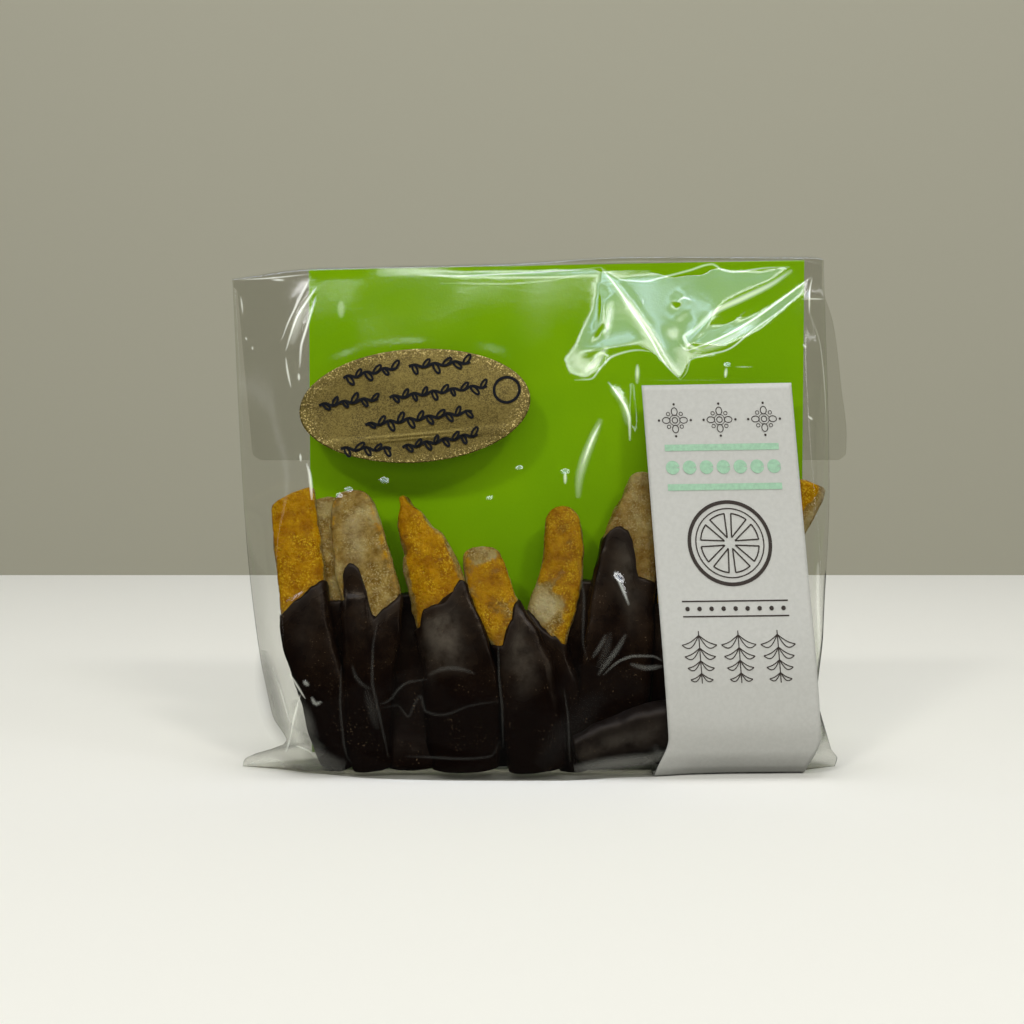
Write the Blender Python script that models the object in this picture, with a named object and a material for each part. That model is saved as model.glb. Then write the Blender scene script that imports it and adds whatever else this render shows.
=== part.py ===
"""A clear sealed bag of dipped peel strips, standing on its flat folded bottom.

The bag is one closed solid out to the film: a wedge that is deep at the bottom and thin at the top,
with low ridges where strips press on the front, a flared corner fold at each end of the bottom, and
its open end folded down behind as a flap. A gold oval sticker and a paper label lie on the front, and
the label goes round the bottom edge and under the bag.

Metres, +Z up. The front faces -Y, and the origin is under the middle of the whole, on the ground.
"""

import math

import bmesh
import bpy
import numpy as np
from mathutils import Vector

# The bag's outline, seen from the front: (height, x) up each side, and (x, height) along the top.
NOMINAL_HEIGHT = 0.1132
LEFT_EDGE = [
    (0.0000, -0.0667),
    (0.0020, -0.0660),
    (0.0064, -0.0564),
    (0.0124, -0.0596),
    (0.0250, -0.0627),
    (0.0568, -0.0663),
    (0.1132, -0.0693),
]
RIGHT_EDGE = [
    (0.0000, 0.0650),
    (0.0021, 0.0652),
    (0.0047, 0.0635),
    (0.0173, 0.0607),
    (0.0304, 0.0622),
    (0.0637, 0.0639),
    (0.1132, 0.0628),
]
TOP_EDGE = [
    (-0.0693, 0.1083),
    (-0.0523, 0.1105),
    (-0.0097, 0.1116),
    (0.0218, 0.1132),
    (0.0606, 0.1132),
    (0.0639, 0.1122),
]

# How deep the bag is from its flat back to its front, up its middle: (height, depth).
BELLY_DEPTH = 0.0250
BELLY_HEIGHT = 0.0120
DEPTH = [
    (0.0000, 0.0165),
    (0.0025, 0.0205),
    (0.0060, 0.0234),
    (BELLY_HEIGHT, BELLY_DEPTH),
    (0.0200, 0.0244),
    (0.0450, 0.0182),
    (0.0600, 0.0144),
    (0.0900, 0.0076),
    (0.1132, 0.0018),
]
CROWN = 0.10
SIDE_FOLD = 0.0008

# How far the foot of the front stands forward, from 0 for rounded to 1 for straight down: (x, share).
FOOT_FORWARD = [
    (-0.0580, 0.00),
    (-0.0485, 0.27),
    (-0.0430, 0.52),
    (-0.0380, 0.76),
    (-0.0300, 0.90),
    (-0.0200, 1.00),
    (0.0034, 1.00),
    (0.0086, 0.90),
    (0.0160, 0.65),
    (0.0250, 0.50),
    (0.0320, 0.27),
    (0.0400, 0.14),
]

# How far in from each side fold the film reaches its full depth: (height, distance).
LEFT_SLACK = [(0.0, 0.0150), (0.012, 0.0080), (0.045, 0.0080), (0.075, 0.0175), (0.1132, 0.0180)]
RIGHT_SLACK = [
    (0.0000, 0.0120),
    (0.0060, 0.0050),
    (0.0100, 0.0024),
    (0.0400, 0.0028),
    (0.0650, 0.0055),
    (0.1132, 0.0085),
]
CORNER_FOLD_TOP = 0.0070
CORNER_FOLD_FADE = 0.0210
CORNER_FOLD_BACK = 0.55
SIDE_FOLD_BACK = 0.35
FLAT_SIDES_TOP = 0.0035
ROUND_SIDES_FROM = 0.0140

# The strips that press on the front: x at the foot, x at the top, height of the top, half the width.
STRIPS = [
    (-0.0467, -0.0534, 0.0620, 0.0085),
    (-0.0345, -0.0390, 0.0610, 0.0085),
    (-0.0190, -0.0244, 0.0610, 0.0090),
    (-0.0023, -0.0101, 0.0500, 0.0095),
    (0.0130, 0.0020, 0.0580, 0.0090),
    (0.0230, 0.0180, 0.0610, 0.0075),
]
VALLEY_DEPTH = 0.0022
VALLEY_FADE = 0.0120
STRIPS_END_X = 0.0200
STRIPS_END_FADE = 0.0040

# The open end, folded down behind: it shows past the right side, where it stands furthest out.
FLAP_FOOT = 0.0677
FLAP_TOP = 0.1065
FLAP_CORNER = 0.0040
FLAP_LEFT = [(FLAP_FOOT, -0.0655), (FLAP_TOP, -0.0685)]
FLAP_RIGHT = [(FLAP_FOOT, 0.0690), (0.0730, 0.0690), (0.0842, 0.0676), (0.0980, 0.0656), (0.1080, 0.0622)]
FLAP_STANDOFF_FOOT = 0.0030
FLAP_STANDOFF_TOP = 0.0010
FLAP_ROOT = 0.0012

# The label and the sticker are thin sheets that follow the front, clear of it by a small gap.
SHEET_THICKNESS = 0.0004
SHEET_GAP = 0.0003
LABEL_WIDTH = 0.0330
LABEL_TOP = 0.0846
LABEL_TOP_X = 0.0382
LABEL_FOOT = 0.0090
LABEL_FOOT_X = 0.0432
LABEL_UNDER_X = 0.0405
LABEL_UNDER_LENGTH = 0.0150
LABEL_ROUND_END = 0.0008
STICKER_LENGTH = 0.0508
STICKER_HEIGHT = 0.0254
STICKER_X = -0.0281
STICKER_LEVEL = 0.0814
STICKER_TILT = math.radians(2.5)
RECESS_HEIGHT = 0.0010
RECESS_SIDE_CLEARANCE = 0.0005

# The back of the bag lies so far behind the origin that front and flap end equally far from it.
SHEET_REACH = SHEET_GAP + SHEET_THICKNESS
BACK_Y = (BELLY_DEPTH + SHEET_REACH - FLAP_STANDOFF_FOOT) / 2

# How finely the solids are divided.
LEFT_COLUMNS = 6
MIDDLE_COLUMNS = 38
RIGHT_COLUMNS = 4
BAG_COLUMNS = LEFT_COLUMNS + MIDDLE_COLUMNS + RIGHT_COLUMNS
BAG_ROWS = 30
FOOT_ROWS = 9
FOOT_ROWS_HEIGHT = 0.0130
FLAP_ROWS = 10
LABEL_COLUMNS = 12
LABEL_FRONT_ROWS = 20
LABEL_UNDER_ROWS = 4
STICKER_SPOKES = 40
STICKER_RINGS = 4
SLOPE_STEP = 0.0004
SHARP_ANGLE = math.radians(35)


def curve_through(points):
    """A smooth curve through a few (place, value) points, which doesn't overshoot them."""
    place = np.array([p[0] for p in points])
    value = np.array([p[1] for p in points])
    step = np.diff(place)
    slope = np.diff(value) / step
    tangent = np.zeros(len(points))
    tangent[0] = slope[0]
    tangent[-1] = slope[-1]
    for i in range(1, len(slope)):
        if slope[i - 1] * slope[i] > 0:
            tangent[i] = 2 * slope[i - 1] * slope[i] / (slope[i - 1] + slope[i])

    def value_at(where):
        where = np.clip(where, place[0], place[-1])
        i = np.clip(np.searchsorted(place, where, side="right") - 1, 0, len(step) - 1)
        t = (where - place[i]) / step[i]
        from_start = (1 + 2 * t) * (1 - t) ** 2 * value[i] + t * (1 - t) ** 2 * step[i] * tangent[i]
        from_end = t**2 * (3 - 2 * t) * value[i + 1] + t**2 * (t - 1) * step[i] * tangent[i + 1]
        return from_start + from_end

    return value_at


left_edge = curve_through(LEFT_EDGE)
right_edge = curve_through(RIGHT_EDGE)
top_edge = curve_through(TOP_EDGE)
depth_at = curve_through(DEPTH)
foot_forward = curve_through(FOOT_FORWARD)
left_slack = curve_through(LEFT_SLACK)
right_slack = curve_through(RIGHT_SLACK)
flap_left = curve_through(FLAP_LEFT)
flap_right = curve_through(FLAP_RIGHT)


def smooth_step(low, high, x):
    t = min(max((x - low) / (high - low), 0.0), 1.0)
    return t * t * (3 - 2 * t)


def valley(x, z):
    """How far the film sinks between the strips that press on it."""
    crest = 0.0
    for foot_x, top_x, top_z, half_width in STRIPS:
        middle = foot_x + (top_x - foot_x) * min(z / top_z, 1.0)
        if abs(x - middle) < half_width:
            height_fade = 1 - smooth_step(top_z - VALLEY_FADE, top_z, z)
            crest = max(crest, math.cos(math.pi / 2 * (x - middle) / half_width) * height_fade)
    highest = max(strip[2] for strip in STRIPS)
    reach = smooth_step(0.0, FOOT_ROWS_HEIGHT, z) * (1 - smooth_step(highest - VALLEY_FADE, highest, z))
    reach *= 1 - smooth_step(STRIPS_END_X, STRIPS_END_X + STRIPS_END_FADE, x)
    return VALLEY_DEPTH * (1 - crest) * reach


def fullness(x, z):
    """1 over the bag's middle, falling to 0 at the folds down its sides."""
    from_left = (x - left_edge(z)) / left_slack(z)
    from_right = (right_edge(z) - x) / right_slack(z)
    t = min(max(min(from_left, from_right), 0.0), 1.0)
    roundness = smooth_step(FLAT_SIDES_TOP, ROUND_SIDES_FROM, z)
    return (1 - roundness) * t + roundness * math.sin(math.pi / 2 * t)


def fold_y(z):
    """Where the folds down the sides lie between the bag's front and back."""
    corner = 1 - smooth_step(CORNER_FOLD_TOP, CORNER_FOLD_FADE, z)
    share = SIDE_FOLD_BACK + (CORNER_FOLD_BACK - SIDE_FOLD_BACK) * corner
    return BACK_Y - share * float(depth_at(z))


def front_depth(x, z):
    """How deep the bag is. Where its foot stands forward, the front falls straight down."""
    depth = float(depth_at(z))
    if z < BELLY_HEIGHT:
        depth += float(foot_forward(x)) * (BELLY_DEPTH - depth)
    return depth


def front_y(x, z):
    """The front film."""
    middle = (left_edge(z) + right_edge(z)) / 2
    half_width = (right_edge(z) - left_edge(z)) / 2
    crown = 1 - CROWN * ((x - middle) / half_width) ** 2
    full = fullness(x, z)
    furthest = BACK_Y - front_depth(x, z) * crown + valley(x, z)
    return fold_y(z) - SIDE_FOLD / 2 + (furthest - fold_y(z) + SIDE_FOLD / 2) * full


def back_y(x, z):
    """The back film, flat against the card."""
    return fold_y(z) + SIDE_FOLD / 2 + (BACK_Y - fold_y(z) - SIDE_FOLD / 2) * fullness(x, z)


def new_object(name, bm):
    bmesh.ops.recalc_face_normals(bm, faces=bm.faces)
    mesh = bpy.data.meshes.new(name)
    bm.to_mesh(mesh)
    bm.free()
    mesh.shade_smooth()
    mesh.set_sharp_from_angle(angle=SHARP_ANGLE)
    thing = bpy.data.objects.new(name, mesh)
    bpy.context.scene.collection.objects.link(thing)
    return thing


def give_material(thing, name, colour, roughness, metallic=0.0, alpha=1.0):
    material = bpy.data.materials.new(name)
    material.use_nodes = True
    shader = material.node_tree.nodes["Principled BSDF"]
    shader.inputs["Base Color"].default_value = (*colour, 1.0)
    shader.inputs["Roughness"].default_value = roughness
    shader.inputs["Metallic"].default_value = metallic
    shader.inputs["Alpha"].default_value = alpha
    thing.data.materials.append(material)


def add_boolean(thing, other, operation):
    """Joins or cuts thing with other, which is then only a guide."""
    other.hide_render = True
    other.display_type = "WIRE"
    modifier = thing.modifiers.new(operation.lower(), "BOOLEAN")
    modifier.operation = operation
    modifier.solver = "EXACT"
    modifier.object = other


def bag_row_heights():
    """Heights of the rows up the bag, close together over the folded foot."""
    foot = [FOOT_ROWS_HEIGHT * i / FOOT_ROWS for i in range(FOOT_ROWS)]
    body_rows = BAG_ROWS - FOOT_ROWS
    body_height = NOMINAL_HEIGHT - FOOT_ROWS_HEIGHT
    return foot + [FOOT_ROWS_HEIGHT + body_height * i / body_rows for i in range(body_rows + 1)]


def spread(start, end, count):
    """Evenly spaced places from start up to the last one before end."""
    return [start + (end - start) * i / count for i in range(count)]


def bag_column_places(level):
    """Places across the bag at one height, with one at each shoulder, where the full depth begins."""
    x0 = float(left_edge(level))
    x1 = float(right_edge(level))
    left_shoulder = x0 + float(left_slack(level))
    right_shoulder = x1 - float(right_slack(level))
    left = spread(x0, left_shoulder, LEFT_COLUMNS)
    middle = spread(left_shoulder, right_shoulder, MIDDLE_COLUMNS)
    return left + middle + spread(right_shoulder, x1, RIGHT_COLUMNS) + [x1]


def bag_body():
    """The bag as a stack of rings, each with a front and a back of as many points."""
    bm = bmesh.new()
    fronts = []
    backs = []
    for level in bag_row_heights():
        xs = bag_column_places(level)
        zs = [level * float(top_edge(x)) / NOMINAL_HEIGHT for x in xs]
        fronts.append([bm.verts.new((x, front_y(x, level), z)) for x, z in zip(xs, zs)])
        backs.append([bm.verts.new((x, back_y(x, level), z)) for x, z in zip(xs, zs)])
    for row in range(len(fronts) - 1):
        for i in range(BAG_COLUMNS):
            front = (fronts[row][i], fronts[row][i + 1], fronts[row + 1][i + 1], fronts[row + 1][i])
            back = (backs[row][i + 1], backs[row][i], backs[row + 1][i], backs[row + 1][i + 1])
            bm.faces.new(front)
            bm.faces.new(back)
        for i in (0, BAG_COLUMNS):
            side = (fronts[row][i], fronts[row + 1][i], backs[row + 1][i], backs[row][i])
            bm.faces.new(side)
    for row in (0, len(fronts) - 1):
        for i in range(BAG_COLUMNS):
            bm.faces.new((fronts[row][i], backs[row][i], backs[row][i + 1], fronts[row][i + 1]))
    return new_object("bag", bm)


def flap_guide():
    """The folded end as a bent plate whose front is sunk into the bag's back."""
    heights = [FLAP_FOOT + (FLAP_TOP - FLAP_FOOT) * i / FLAP_ROWS for i in range(FLAP_ROWS + 1)]
    bm = bmesh.new()
    rings = []
    for z in heights:
        up = (z - FLAP_FOOT) / (FLAP_TOP - FLAP_FOOT)
        round_off = FLAP_CORNER * max(0.0, 1 - (z - FLAP_FOOT) / FLAP_CORNER) ** 2
        x0 = float(flap_left(z)) + round_off
        x1 = float(flap_right(z)) - round_off
        outer = BACK_Y + FLAP_STANDOFF_FOOT + (FLAP_STANDOFF_TOP - FLAP_STANDOFF_FOOT) * up
        inner = BACK_Y - FLAP_ROOT
        corners = [(x0, inner), (x1, inner), (x1, outer), (x0, outer)]
        rings.append([bm.verts.new((x, y, z)) for x, y in corners])
    for low, high in zip(rings, rings[1:]):
        for i in range(4):
            bm.faces.new((low[i], low[(i + 1) % 4], high[(i + 1) % 4], high[i]))
    bm.faces.new(rings[0][::-1])
    bm.faces.new(rings[-1])
    return new_object("flap_guide", bm)


def recess_guide():
    """The shallow space under the bag that the label's end lies in."""
    half = LABEL_WIDTH / 2 + RECESS_SIDE_CLEARANCE
    front = BACK_Y - BELLY_DEPTH
    back = label_end_y() + RECESS_SIDE_CLEARANCE
    bm = bmesh.new()
    bmesh.ops.create_cube(bm, size=1.0)
    size = Vector((2 * half, back - front, 2 * RECESS_HEIGHT))
    bmesh.ops.scale(bm, vec=size, verts=bm.verts)
    bmesh.ops.translate(bm, vec=(LABEL_UNDER_X, (front + back) / 2, 0.0), verts=bm.verts)
    return new_object("recess_guide", bm)


def label_end_y():
    return BACK_Y - float(depth_at(0.0)) + LABEL_UNDER_LENGTH


def stiff_y(x, z):
    """The front as a stiff sheet meets it: past the right shoulder the sheet goes straight on."""
    shoulder = float(right_edge(z) - right_slack(z))
    return front_y(min(x, shoulder), z)


def sheet_point(x, z):
    """A point on the middle of a sheet that lies on the front film."""
    above = z + SLOPE_STEP
    below = max(z - SLOPE_STEP, 0.0)
    dy_dx = (stiff_y(x + SLOPE_STEP, z) - stiff_y(x - SLOPE_STEP, z)) / (2 * SLOPE_STEP)
    dy_dz = (stiff_y(x, above) - stiff_y(x, below)) / (above - below)
    normal = Vector((dy_dx, -1.0, dy_dz)).normalized()
    height = z * float(top_edge(x)) / NOMINAL_HEIGHT
    return Vector((x, stiff_y(x, z), height)) + normal * (SHEET_GAP + SHEET_THICKNESS / 2)


def label_middle_x(z):
    """The label leans to the right going down, and swings back where it turns under."""
    if z > LABEL_FOOT:
        return LABEL_TOP_X + (LABEL_FOOT_X - LABEL_TOP_X) * (LABEL_TOP - z) / (LABEL_TOP - LABEL_FOOT)
    return LABEL_UNDER_X + (LABEL_FOOT_X - LABEL_UNDER_X) * smooth_step(0.0, LABEL_FOOT, z)


def label_rows():
    """Rows of the label's sheet from its top edge down the front, round the foot and underneath."""
    rows = []
    for i in range(LABEL_FRONT_ROWS + 1):
        down = math.sin(math.pi / 2 * i / LABEL_FRONT_ROWS)
        z = LABEL_TOP + (LABEL_ROUND_END - LABEL_TOP) * down
        middle = label_middle_x(z)
        xs = [middle + LABEL_WIDTH * (k / LABEL_COLUMNS - 0.5) for k in range(LABEL_COLUMNS + 1)]
        rows.append([sheet_point(x, z) for x in xs])
    for i in range(LABEL_UNDER_ROWS + 1):
        share = i / LABEL_UNDER_ROWS
        row = []
        for k in range(LABEL_COLUMNS + 1):
            x = LABEL_UNDER_X + LABEL_WIDTH * (k / LABEL_COLUMNS - 0.5)
            start = stiff_y(x, 0.0)
            row.append(Vector((x, start + (label_end_y() - start) * share, SHEET_THICKNESS / 2)))
        rows.append(row)
    return rows


def thicken(thing):
    modifier = thing.modifiers.new("thickness", "SOLIDIFY")
    modifier.thickness = SHEET_THICKNESS
    modifier.offset = 0.0


def paper_label():
    bm = bmesh.new()
    rows = [[bm.verts.new(point) for point in row] for row in label_rows()]
    for upper, lower in zip(rows, rows[1:]):
        for k in range(LABEL_COLUMNS):
            bm.faces.new((lower[k], lower[k + 1], upper[k + 1], upper[k]))
    label = new_object("paper_label", bm)
    thicken(label)
    return label


def gold_sticker():
    """An oval sheet, as rings of points round its middle."""
    bm = bmesh.new()
    middle = bm.verts.new(sheet_point(STICKER_X, STICKER_LEVEL))
    rings = []
    for ring in range(1, STICKER_RINGS + 1):
        share = ring / STICKER_RINGS
        points = []
        for spoke in range(STICKER_SPOKES):
            angle = 2 * math.pi * spoke / STICKER_SPOKES
            along = share * STICKER_LENGTH / 2 * math.cos(angle)
            up = share * STICKER_HEIGHT / 2 * math.sin(angle)
            x = STICKER_X + along * math.cos(STICKER_TILT) - up * math.sin(STICKER_TILT)
            z = STICKER_LEVEL + along * math.sin(STICKER_TILT) + up * math.cos(STICKER_TILT)
            points.append(bm.verts.new(sheet_point(x, z)))
        rings.append(points)
    for i in range(STICKER_SPOKES):
        j = (i + 1) % STICKER_SPOKES
        bm.faces.new((middle, rings[0][i], rings[0][j]))
        for inner, outer in zip(rings, rings[1:]):
            bm.faces.new((inner[i], outer[i], outer[j], inner[j]))
    sticker = new_object("gold_sticker", bm)
    thicken(sticker)
    return sticker


def main():
    for thing in list(bpy.data.objects):
        bpy.data.objects.remove(thing)
    bag = bag_body()
    add_boolean(bag, flap_guide(), "UNION")
    add_boolean(bag, recess_guide(), "DIFFERENCE")
    give_material(bag, "film", (0.62, 0.62, 0.56), 0.12, alpha=0.35)
    give_material(paper_label(), "paper", (0.56, 0.58, 0.53), 0.8)
    give_material(gold_sticker(), "gold_paper", (0.30, 0.22, 0.08), 0.35, metallic=0.8)


main()
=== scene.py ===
import itertools
import math

import bmesh
import bpy
import numpy as np
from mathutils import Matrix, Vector
from mathutils.bvhtree import BVHTree


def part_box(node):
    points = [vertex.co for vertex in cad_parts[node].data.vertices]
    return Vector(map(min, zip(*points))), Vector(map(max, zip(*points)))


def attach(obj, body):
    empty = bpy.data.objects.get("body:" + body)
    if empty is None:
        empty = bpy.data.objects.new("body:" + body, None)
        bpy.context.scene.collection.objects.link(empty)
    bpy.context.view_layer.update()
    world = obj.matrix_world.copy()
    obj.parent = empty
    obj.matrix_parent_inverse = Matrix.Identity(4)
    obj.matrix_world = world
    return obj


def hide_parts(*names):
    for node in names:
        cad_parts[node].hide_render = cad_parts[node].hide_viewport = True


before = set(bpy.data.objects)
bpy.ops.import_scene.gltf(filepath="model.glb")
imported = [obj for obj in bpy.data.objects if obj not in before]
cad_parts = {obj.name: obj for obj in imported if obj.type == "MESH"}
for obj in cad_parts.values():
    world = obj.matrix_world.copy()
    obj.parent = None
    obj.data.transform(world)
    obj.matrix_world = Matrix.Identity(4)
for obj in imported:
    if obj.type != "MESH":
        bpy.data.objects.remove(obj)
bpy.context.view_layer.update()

# A clear bag of candied peel strips dipped in chocolate, standing on its folded bottom. The film, the
# card and the strips replace the one solid that stands for them, and the sticker and the label
# replace theirs. Metres, except in the tables that say millimetres. +Z is up, and the front faces -Y.

MM = 0.001
bag_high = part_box("bag")[1]
label_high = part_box("paper_label")[1]
sticker_low, sticker_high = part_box("gold_sticker")

# Curves and directions


def curve_through(points):
    """A smooth curve through a few (place, value) points, which doesn't overshoot them."""
    place, value = np.array(points, float).T
    step = np.diff(place)
    slope = np.diff(value) / step
    tangent = np.concatenate([slope[:1], 0 * slope[1:], slope[-1:]])
    for i in range(1, len(slope)):
        if slope[i - 1] * slope[i] > 0:
            tangent[i] = 2 * slope[i - 1] * slope[i] / (slope[i - 1] + slope[i])

    def value_at(where):
        where = np.clip(where, place[0], place[-1])
        i = np.clip(np.searchsorted(place, where, side="right") - 1, 0, len(step) - 1)
        t = (where - place[i]) / step[i]
        from_start = (1 + 2 * t) * (1 - t) ** 2 * value[i] + t * (1 - t) ** 2 * step[i] * tangent[i]
        from_end = t**2 * (3 - 2 * t) * value[i + 1] + t**2 * (t - 1) * step[i] * tangent[i + 1]
        return from_start + from_end

    return value_at


def smooth_step(low, high, x):
    t = np.clip((x - low) / (high - low), 0.0, 1.0)
    return t * t * (3 - 2 * t)


def rounded(distance, radius):
    """0 at an end and 1 from a radius away, along a quarter of a circle."""
    return np.sqrt(1 - (1 - np.clip(distance / radius, 0, 1)) ** 2)


def run_along(points):
    """How far along a broken line each of its points lies."""
    return np.concatenate([[0], np.cumsum(np.hypot(*np.diff(points, axis=0).T))])


def unit(vectors):
    return vectors / (np.linalg.norm(vectors, axis=-1, keepdims=True) + 1e-12)


def turned(across, up, angle):
    """Places or directions turned from across towards up by an angle in radians."""
    c, s = math.cos(angle), math.sin(angle)
    return across * c - up * s, across * s + up * c


def flat_points(a, b):
    """Points with a third coordinate of 0, where noise is read."""
    return np.stack([a, b, np.zeros_like(a)], axis=-1)


# The bag's form, as in the solid: (height, x) up its sides, (x, height) along its top, (height,
# depth) up its middle, and (height, width) of the slack beside the folds down its sides.

HEIGHT = bag_high.z
BELLY_HEIGHT = 0.0120
BELLY_DEPTH = 0.0250
CROWN = 0.10
SIDE_FOLD = 0.0008
SIDE_FOLD_BACK = 0.35
CORNER_FOLD_TOP = 0.0070
CORNER_FOLD_FADE = 0.0210
CORNER_FOLD_BACK = 0.55
FLAT_SIDES_TOP = 0.0035
ROUND_SIDES_FROM = 0.0140
FLAP_STANDOFF = 0.0030
BACK_Y = bag_high.y - FLAP_STANDOFF

left_edge = curve_through([
    (0, -0.0667), (0.002, -0.066), (0.0064, -0.0564), (0.0124, -0.0596), (0.025, -0.0627),
    (0.0568, -0.0663), (0.1132, -0.0693),
])
right_edge = curve_through([
    (0, 0.065), (0.0021, 0.0652), (0.0047, 0.0635), (0.0173, 0.0607), (0.0304, 0.0622),
    (0.0637, 0.0639), (0.1132, 0.0628),
])
top_edge = curve_through([
    (-0.0693, 0.1083), (-0.0523, 0.1105), (-0.0097, 0.1116), (0.0218, 0.1132), (0.0606, 0.1132),
    (0.0639, 0.1122),
])
depth_at = curve_through([
    (0, 0.0165), (0.0025, 0.0205), (0.006, 0.0234), (BELLY_HEIGHT, BELLY_DEPTH), (0.02, 0.0244),
    (0.045, 0.0182), (0.06, 0.0144), (0.09, 0.0076), (0.1132, 0.0018),
])
left_slack = curve_through([
    (0, 0.015), (0.012, 0.008), (0.045, 0.008), (0.075, 0.0175), (0.1132, 0.018),
])
right_slack = curve_through([
    (0, 0.012), (0.006, 0.005), (0.01, 0.0024), (0.04, 0.0028), (0.065, 0.0055), (0.1132, 0.0085),
])
# How far the foot of the front stands forward, from 0 for rounded to 1 for straight down: (x, share).
foot_forward = curve_through([
    (-0.058, 0), (-0.0485, 0.27), (-0.043, 0.52), (-0.038, 0.76), (-0.03, 0.9), (-0.02, 1), (0.0034, 1),
    (0.0086, 0.9), (0.016, 0.65), (0.025, 0.5), (0.032, 0.27), (0.04, 0.14),
])


def fullness(x, z):
    """1 over the bag's middle, falling to 0 at the folds down its sides."""
    from_left = (x - left_edge(z)) / left_slack(z)
    from_right = (right_edge(z) - x) / right_slack(z)
    t = np.clip(np.minimum(from_left, from_right), 0.0, 1.0)
    roundness = smooth_step(FLAT_SIDES_TOP, ROUND_SIDES_FROM, z)
    return (1 - roundness) * t + roundness * np.sin(math.pi / 2 * t)


def fold_y(z):
    """Where the folds down the sides lie between the bag's front and back."""
    corner = 1 - smooth_step(CORNER_FOLD_TOP, CORNER_FOLD_FADE, z)
    share = SIDE_FOLD_BACK + (CORNER_FOLD_BACK - SIDE_FOLD_BACK) * corner
    return BACK_Y - share * depth_at(z)


def front_y(x, z):
    """The bag's front, without folds and creases. Where its foot stands forward, it falls straight."""
    middle = (left_edge(z) + right_edge(z)) / 2
    half_width = (right_edge(z) - left_edge(z)) / 2
    depth = depth_at(z)
    depth = depth + foot_forward(x) * (BELLY_DEPTH - depth) * (z < BELLY_HEIGHT)
    furthest = BACK_Y - depth * (1 - CROWN * ((x - middle) / half_width) ** 2)
    fold = fold_y(z) - SIDE_FOLD / 2
    return fold + (furthest - fold) * fullness(x, z)


def back_y(x, z):
    """The bag's back, flat against the card."""
    fold = fold_y(z) + SIDE_FOLD / 2
    return fold + (BACK_Y - fold) * fullness(x, z)


# Noise


def lattice(ix, iy, iz, seed):
    """A fixed pseudo-random value from -1 to 1 for each whole-number point."""
    mask = 0xFFFFFFFF
    h = (ix * 374761393 + iy * 668265263 + iz * 1440662683 + seed * 1274126177) & mask
    h = ((h ^ (h >> 13)) * 1274126177) & mask
    h = ((h ^ (h >> 15)) * 668265263) & mask
    return ((h >> 8) & 0xFFFF) / 32767.5 - 1


def noise(points, size, seed):
    """Smooth noise from -1 to 1 at points [..., 3], whose features are about size across."""
    p = np.asarray(points) / size
    cell = np.floor(p).astype(np.int64)
    t = p - cell
    t = t * t * (3 - 2 * t)
    total = 0
    for corner in itertools.product((0, 1), repeat=3):
        weight = np.abs(1 - np.array(corner) - t).prod(axis=-1)
        total = total + weight * lattice(*np.moveaxis(cell + corner, -1, 0), seed)
    return total


def layered_noise(points, size, seed, layers=3):
    return sum(noise(points, size / 2**i, seed + i) / 2**i for i in range(layers))


# Meshes


def new_object(name, vertices, faces, material, node, smooth=True):
    """A piece of the bag that rides on its one body and replaces a node of the frame."""
    mesh = bpy.data.meshes.new(name)
    mesh.from_pydata(np.asarray(vertices).reshape(-1, 3).tolist(), [], faces)
    mesh.validate()
    outward = bmesh.new()
    outward.from_mesh(mesh)
    bmesh.ops.recalc_face_normals(outward, faces=outward.faces)
    outward.to_mesh(mesh)
    outward.free()
    if smooth:
        mesh.shade_smooth()
    mesh.materials.append(material)
    thing = bpy.data.objects.new(name, mesh)
    bpy.context.scene.collection.objects.link(thing)
    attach(thing, "root")
    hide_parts(node)
    return thing


def grid_faces(rows, columns, round_columns=False, start=0):
    """Faces of a grid of points in rows, whose columns may close into a ring."""
    across = columns if round_columns else columns - 1
    i, j = np.meshgrid(np.arange(rows - 1), np.arange(across), indexing="ij")
    a = i * columns + j
    b = i * columns + (j + 1) % columns
    faces = np.stack([a, b, b + columns, a + columns], axis=-1).reshape(-1, 4) + start
    return faces.tolist()


def grid_rim(rows, columns):
    """The points round a grid, back to the first."""
    at = np.arange(rows * columns).reshape(rows, columns)
    return [*at[0].tolist(), *at[1:, -1].tolist(), *at[-1, -2::-1].tolist(), *at[-2::-1, 0].tolist()]


def make_skin(name, front, back, material, node, step=1):
    """A closed skin between two grids of points. The back's grid may be coarser by a step."""
    count = front.shape[0] * front.shape[1]
    faces = grid_faces(*front.shape[:2])
    faces += [face[::-1] for face in grid_faces(*back.shape[:2], start=count)]
    near = grid_rim(*front.shape[:2])
    far = [count + i for i in grid_rim(*back.shape[:2])]
    for k, ends in enumerate(zip(far, far[1:])):
        faces.append(near[k * step : (k + 1) * step + 1][::-1] + list(ends))
    points = np.concatenate([front.reshape(-1, 3), back.reshape(-1, 3)])
    return new_object(name, points, faces, material, node)


def add_attribute(thing, name, values):
    attribute = thing.data.attributes.new(name, "FLOAT", "POINT")
    attribute.data.foreach_set("value", np.asarray(values, dtype=np.float32).ravel())


def blurred(field, passes):
    """A grid of numbers with each smoothed towards its neighbours, its rim kept."""
    field = field.copy()
    for _ in range(passes):
        around = field[:-2, 1:-1] + field[2:, 1:-1] + field[1:-1, :-2] + field[1:-1, 2:]
        field[1:-1, 1:-1] = 0.5 * field[1:-1, 1:-1] + 0.125 * around
    return field


def least_nearby(field, cells):
    """The least value within some cells of each place of a grid."""
    field = field.copy()
    for _ in range(cells):
        field[1:-1] = np.minimum(field[1:-1], np.minimum(field[:-2], field[2:]))
        field[:, 1:-1] = np.minimum(field[:, 1:-1], np.minimum(field[:, :-2], field[:, 2:]))
    return field


# Materials


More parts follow.
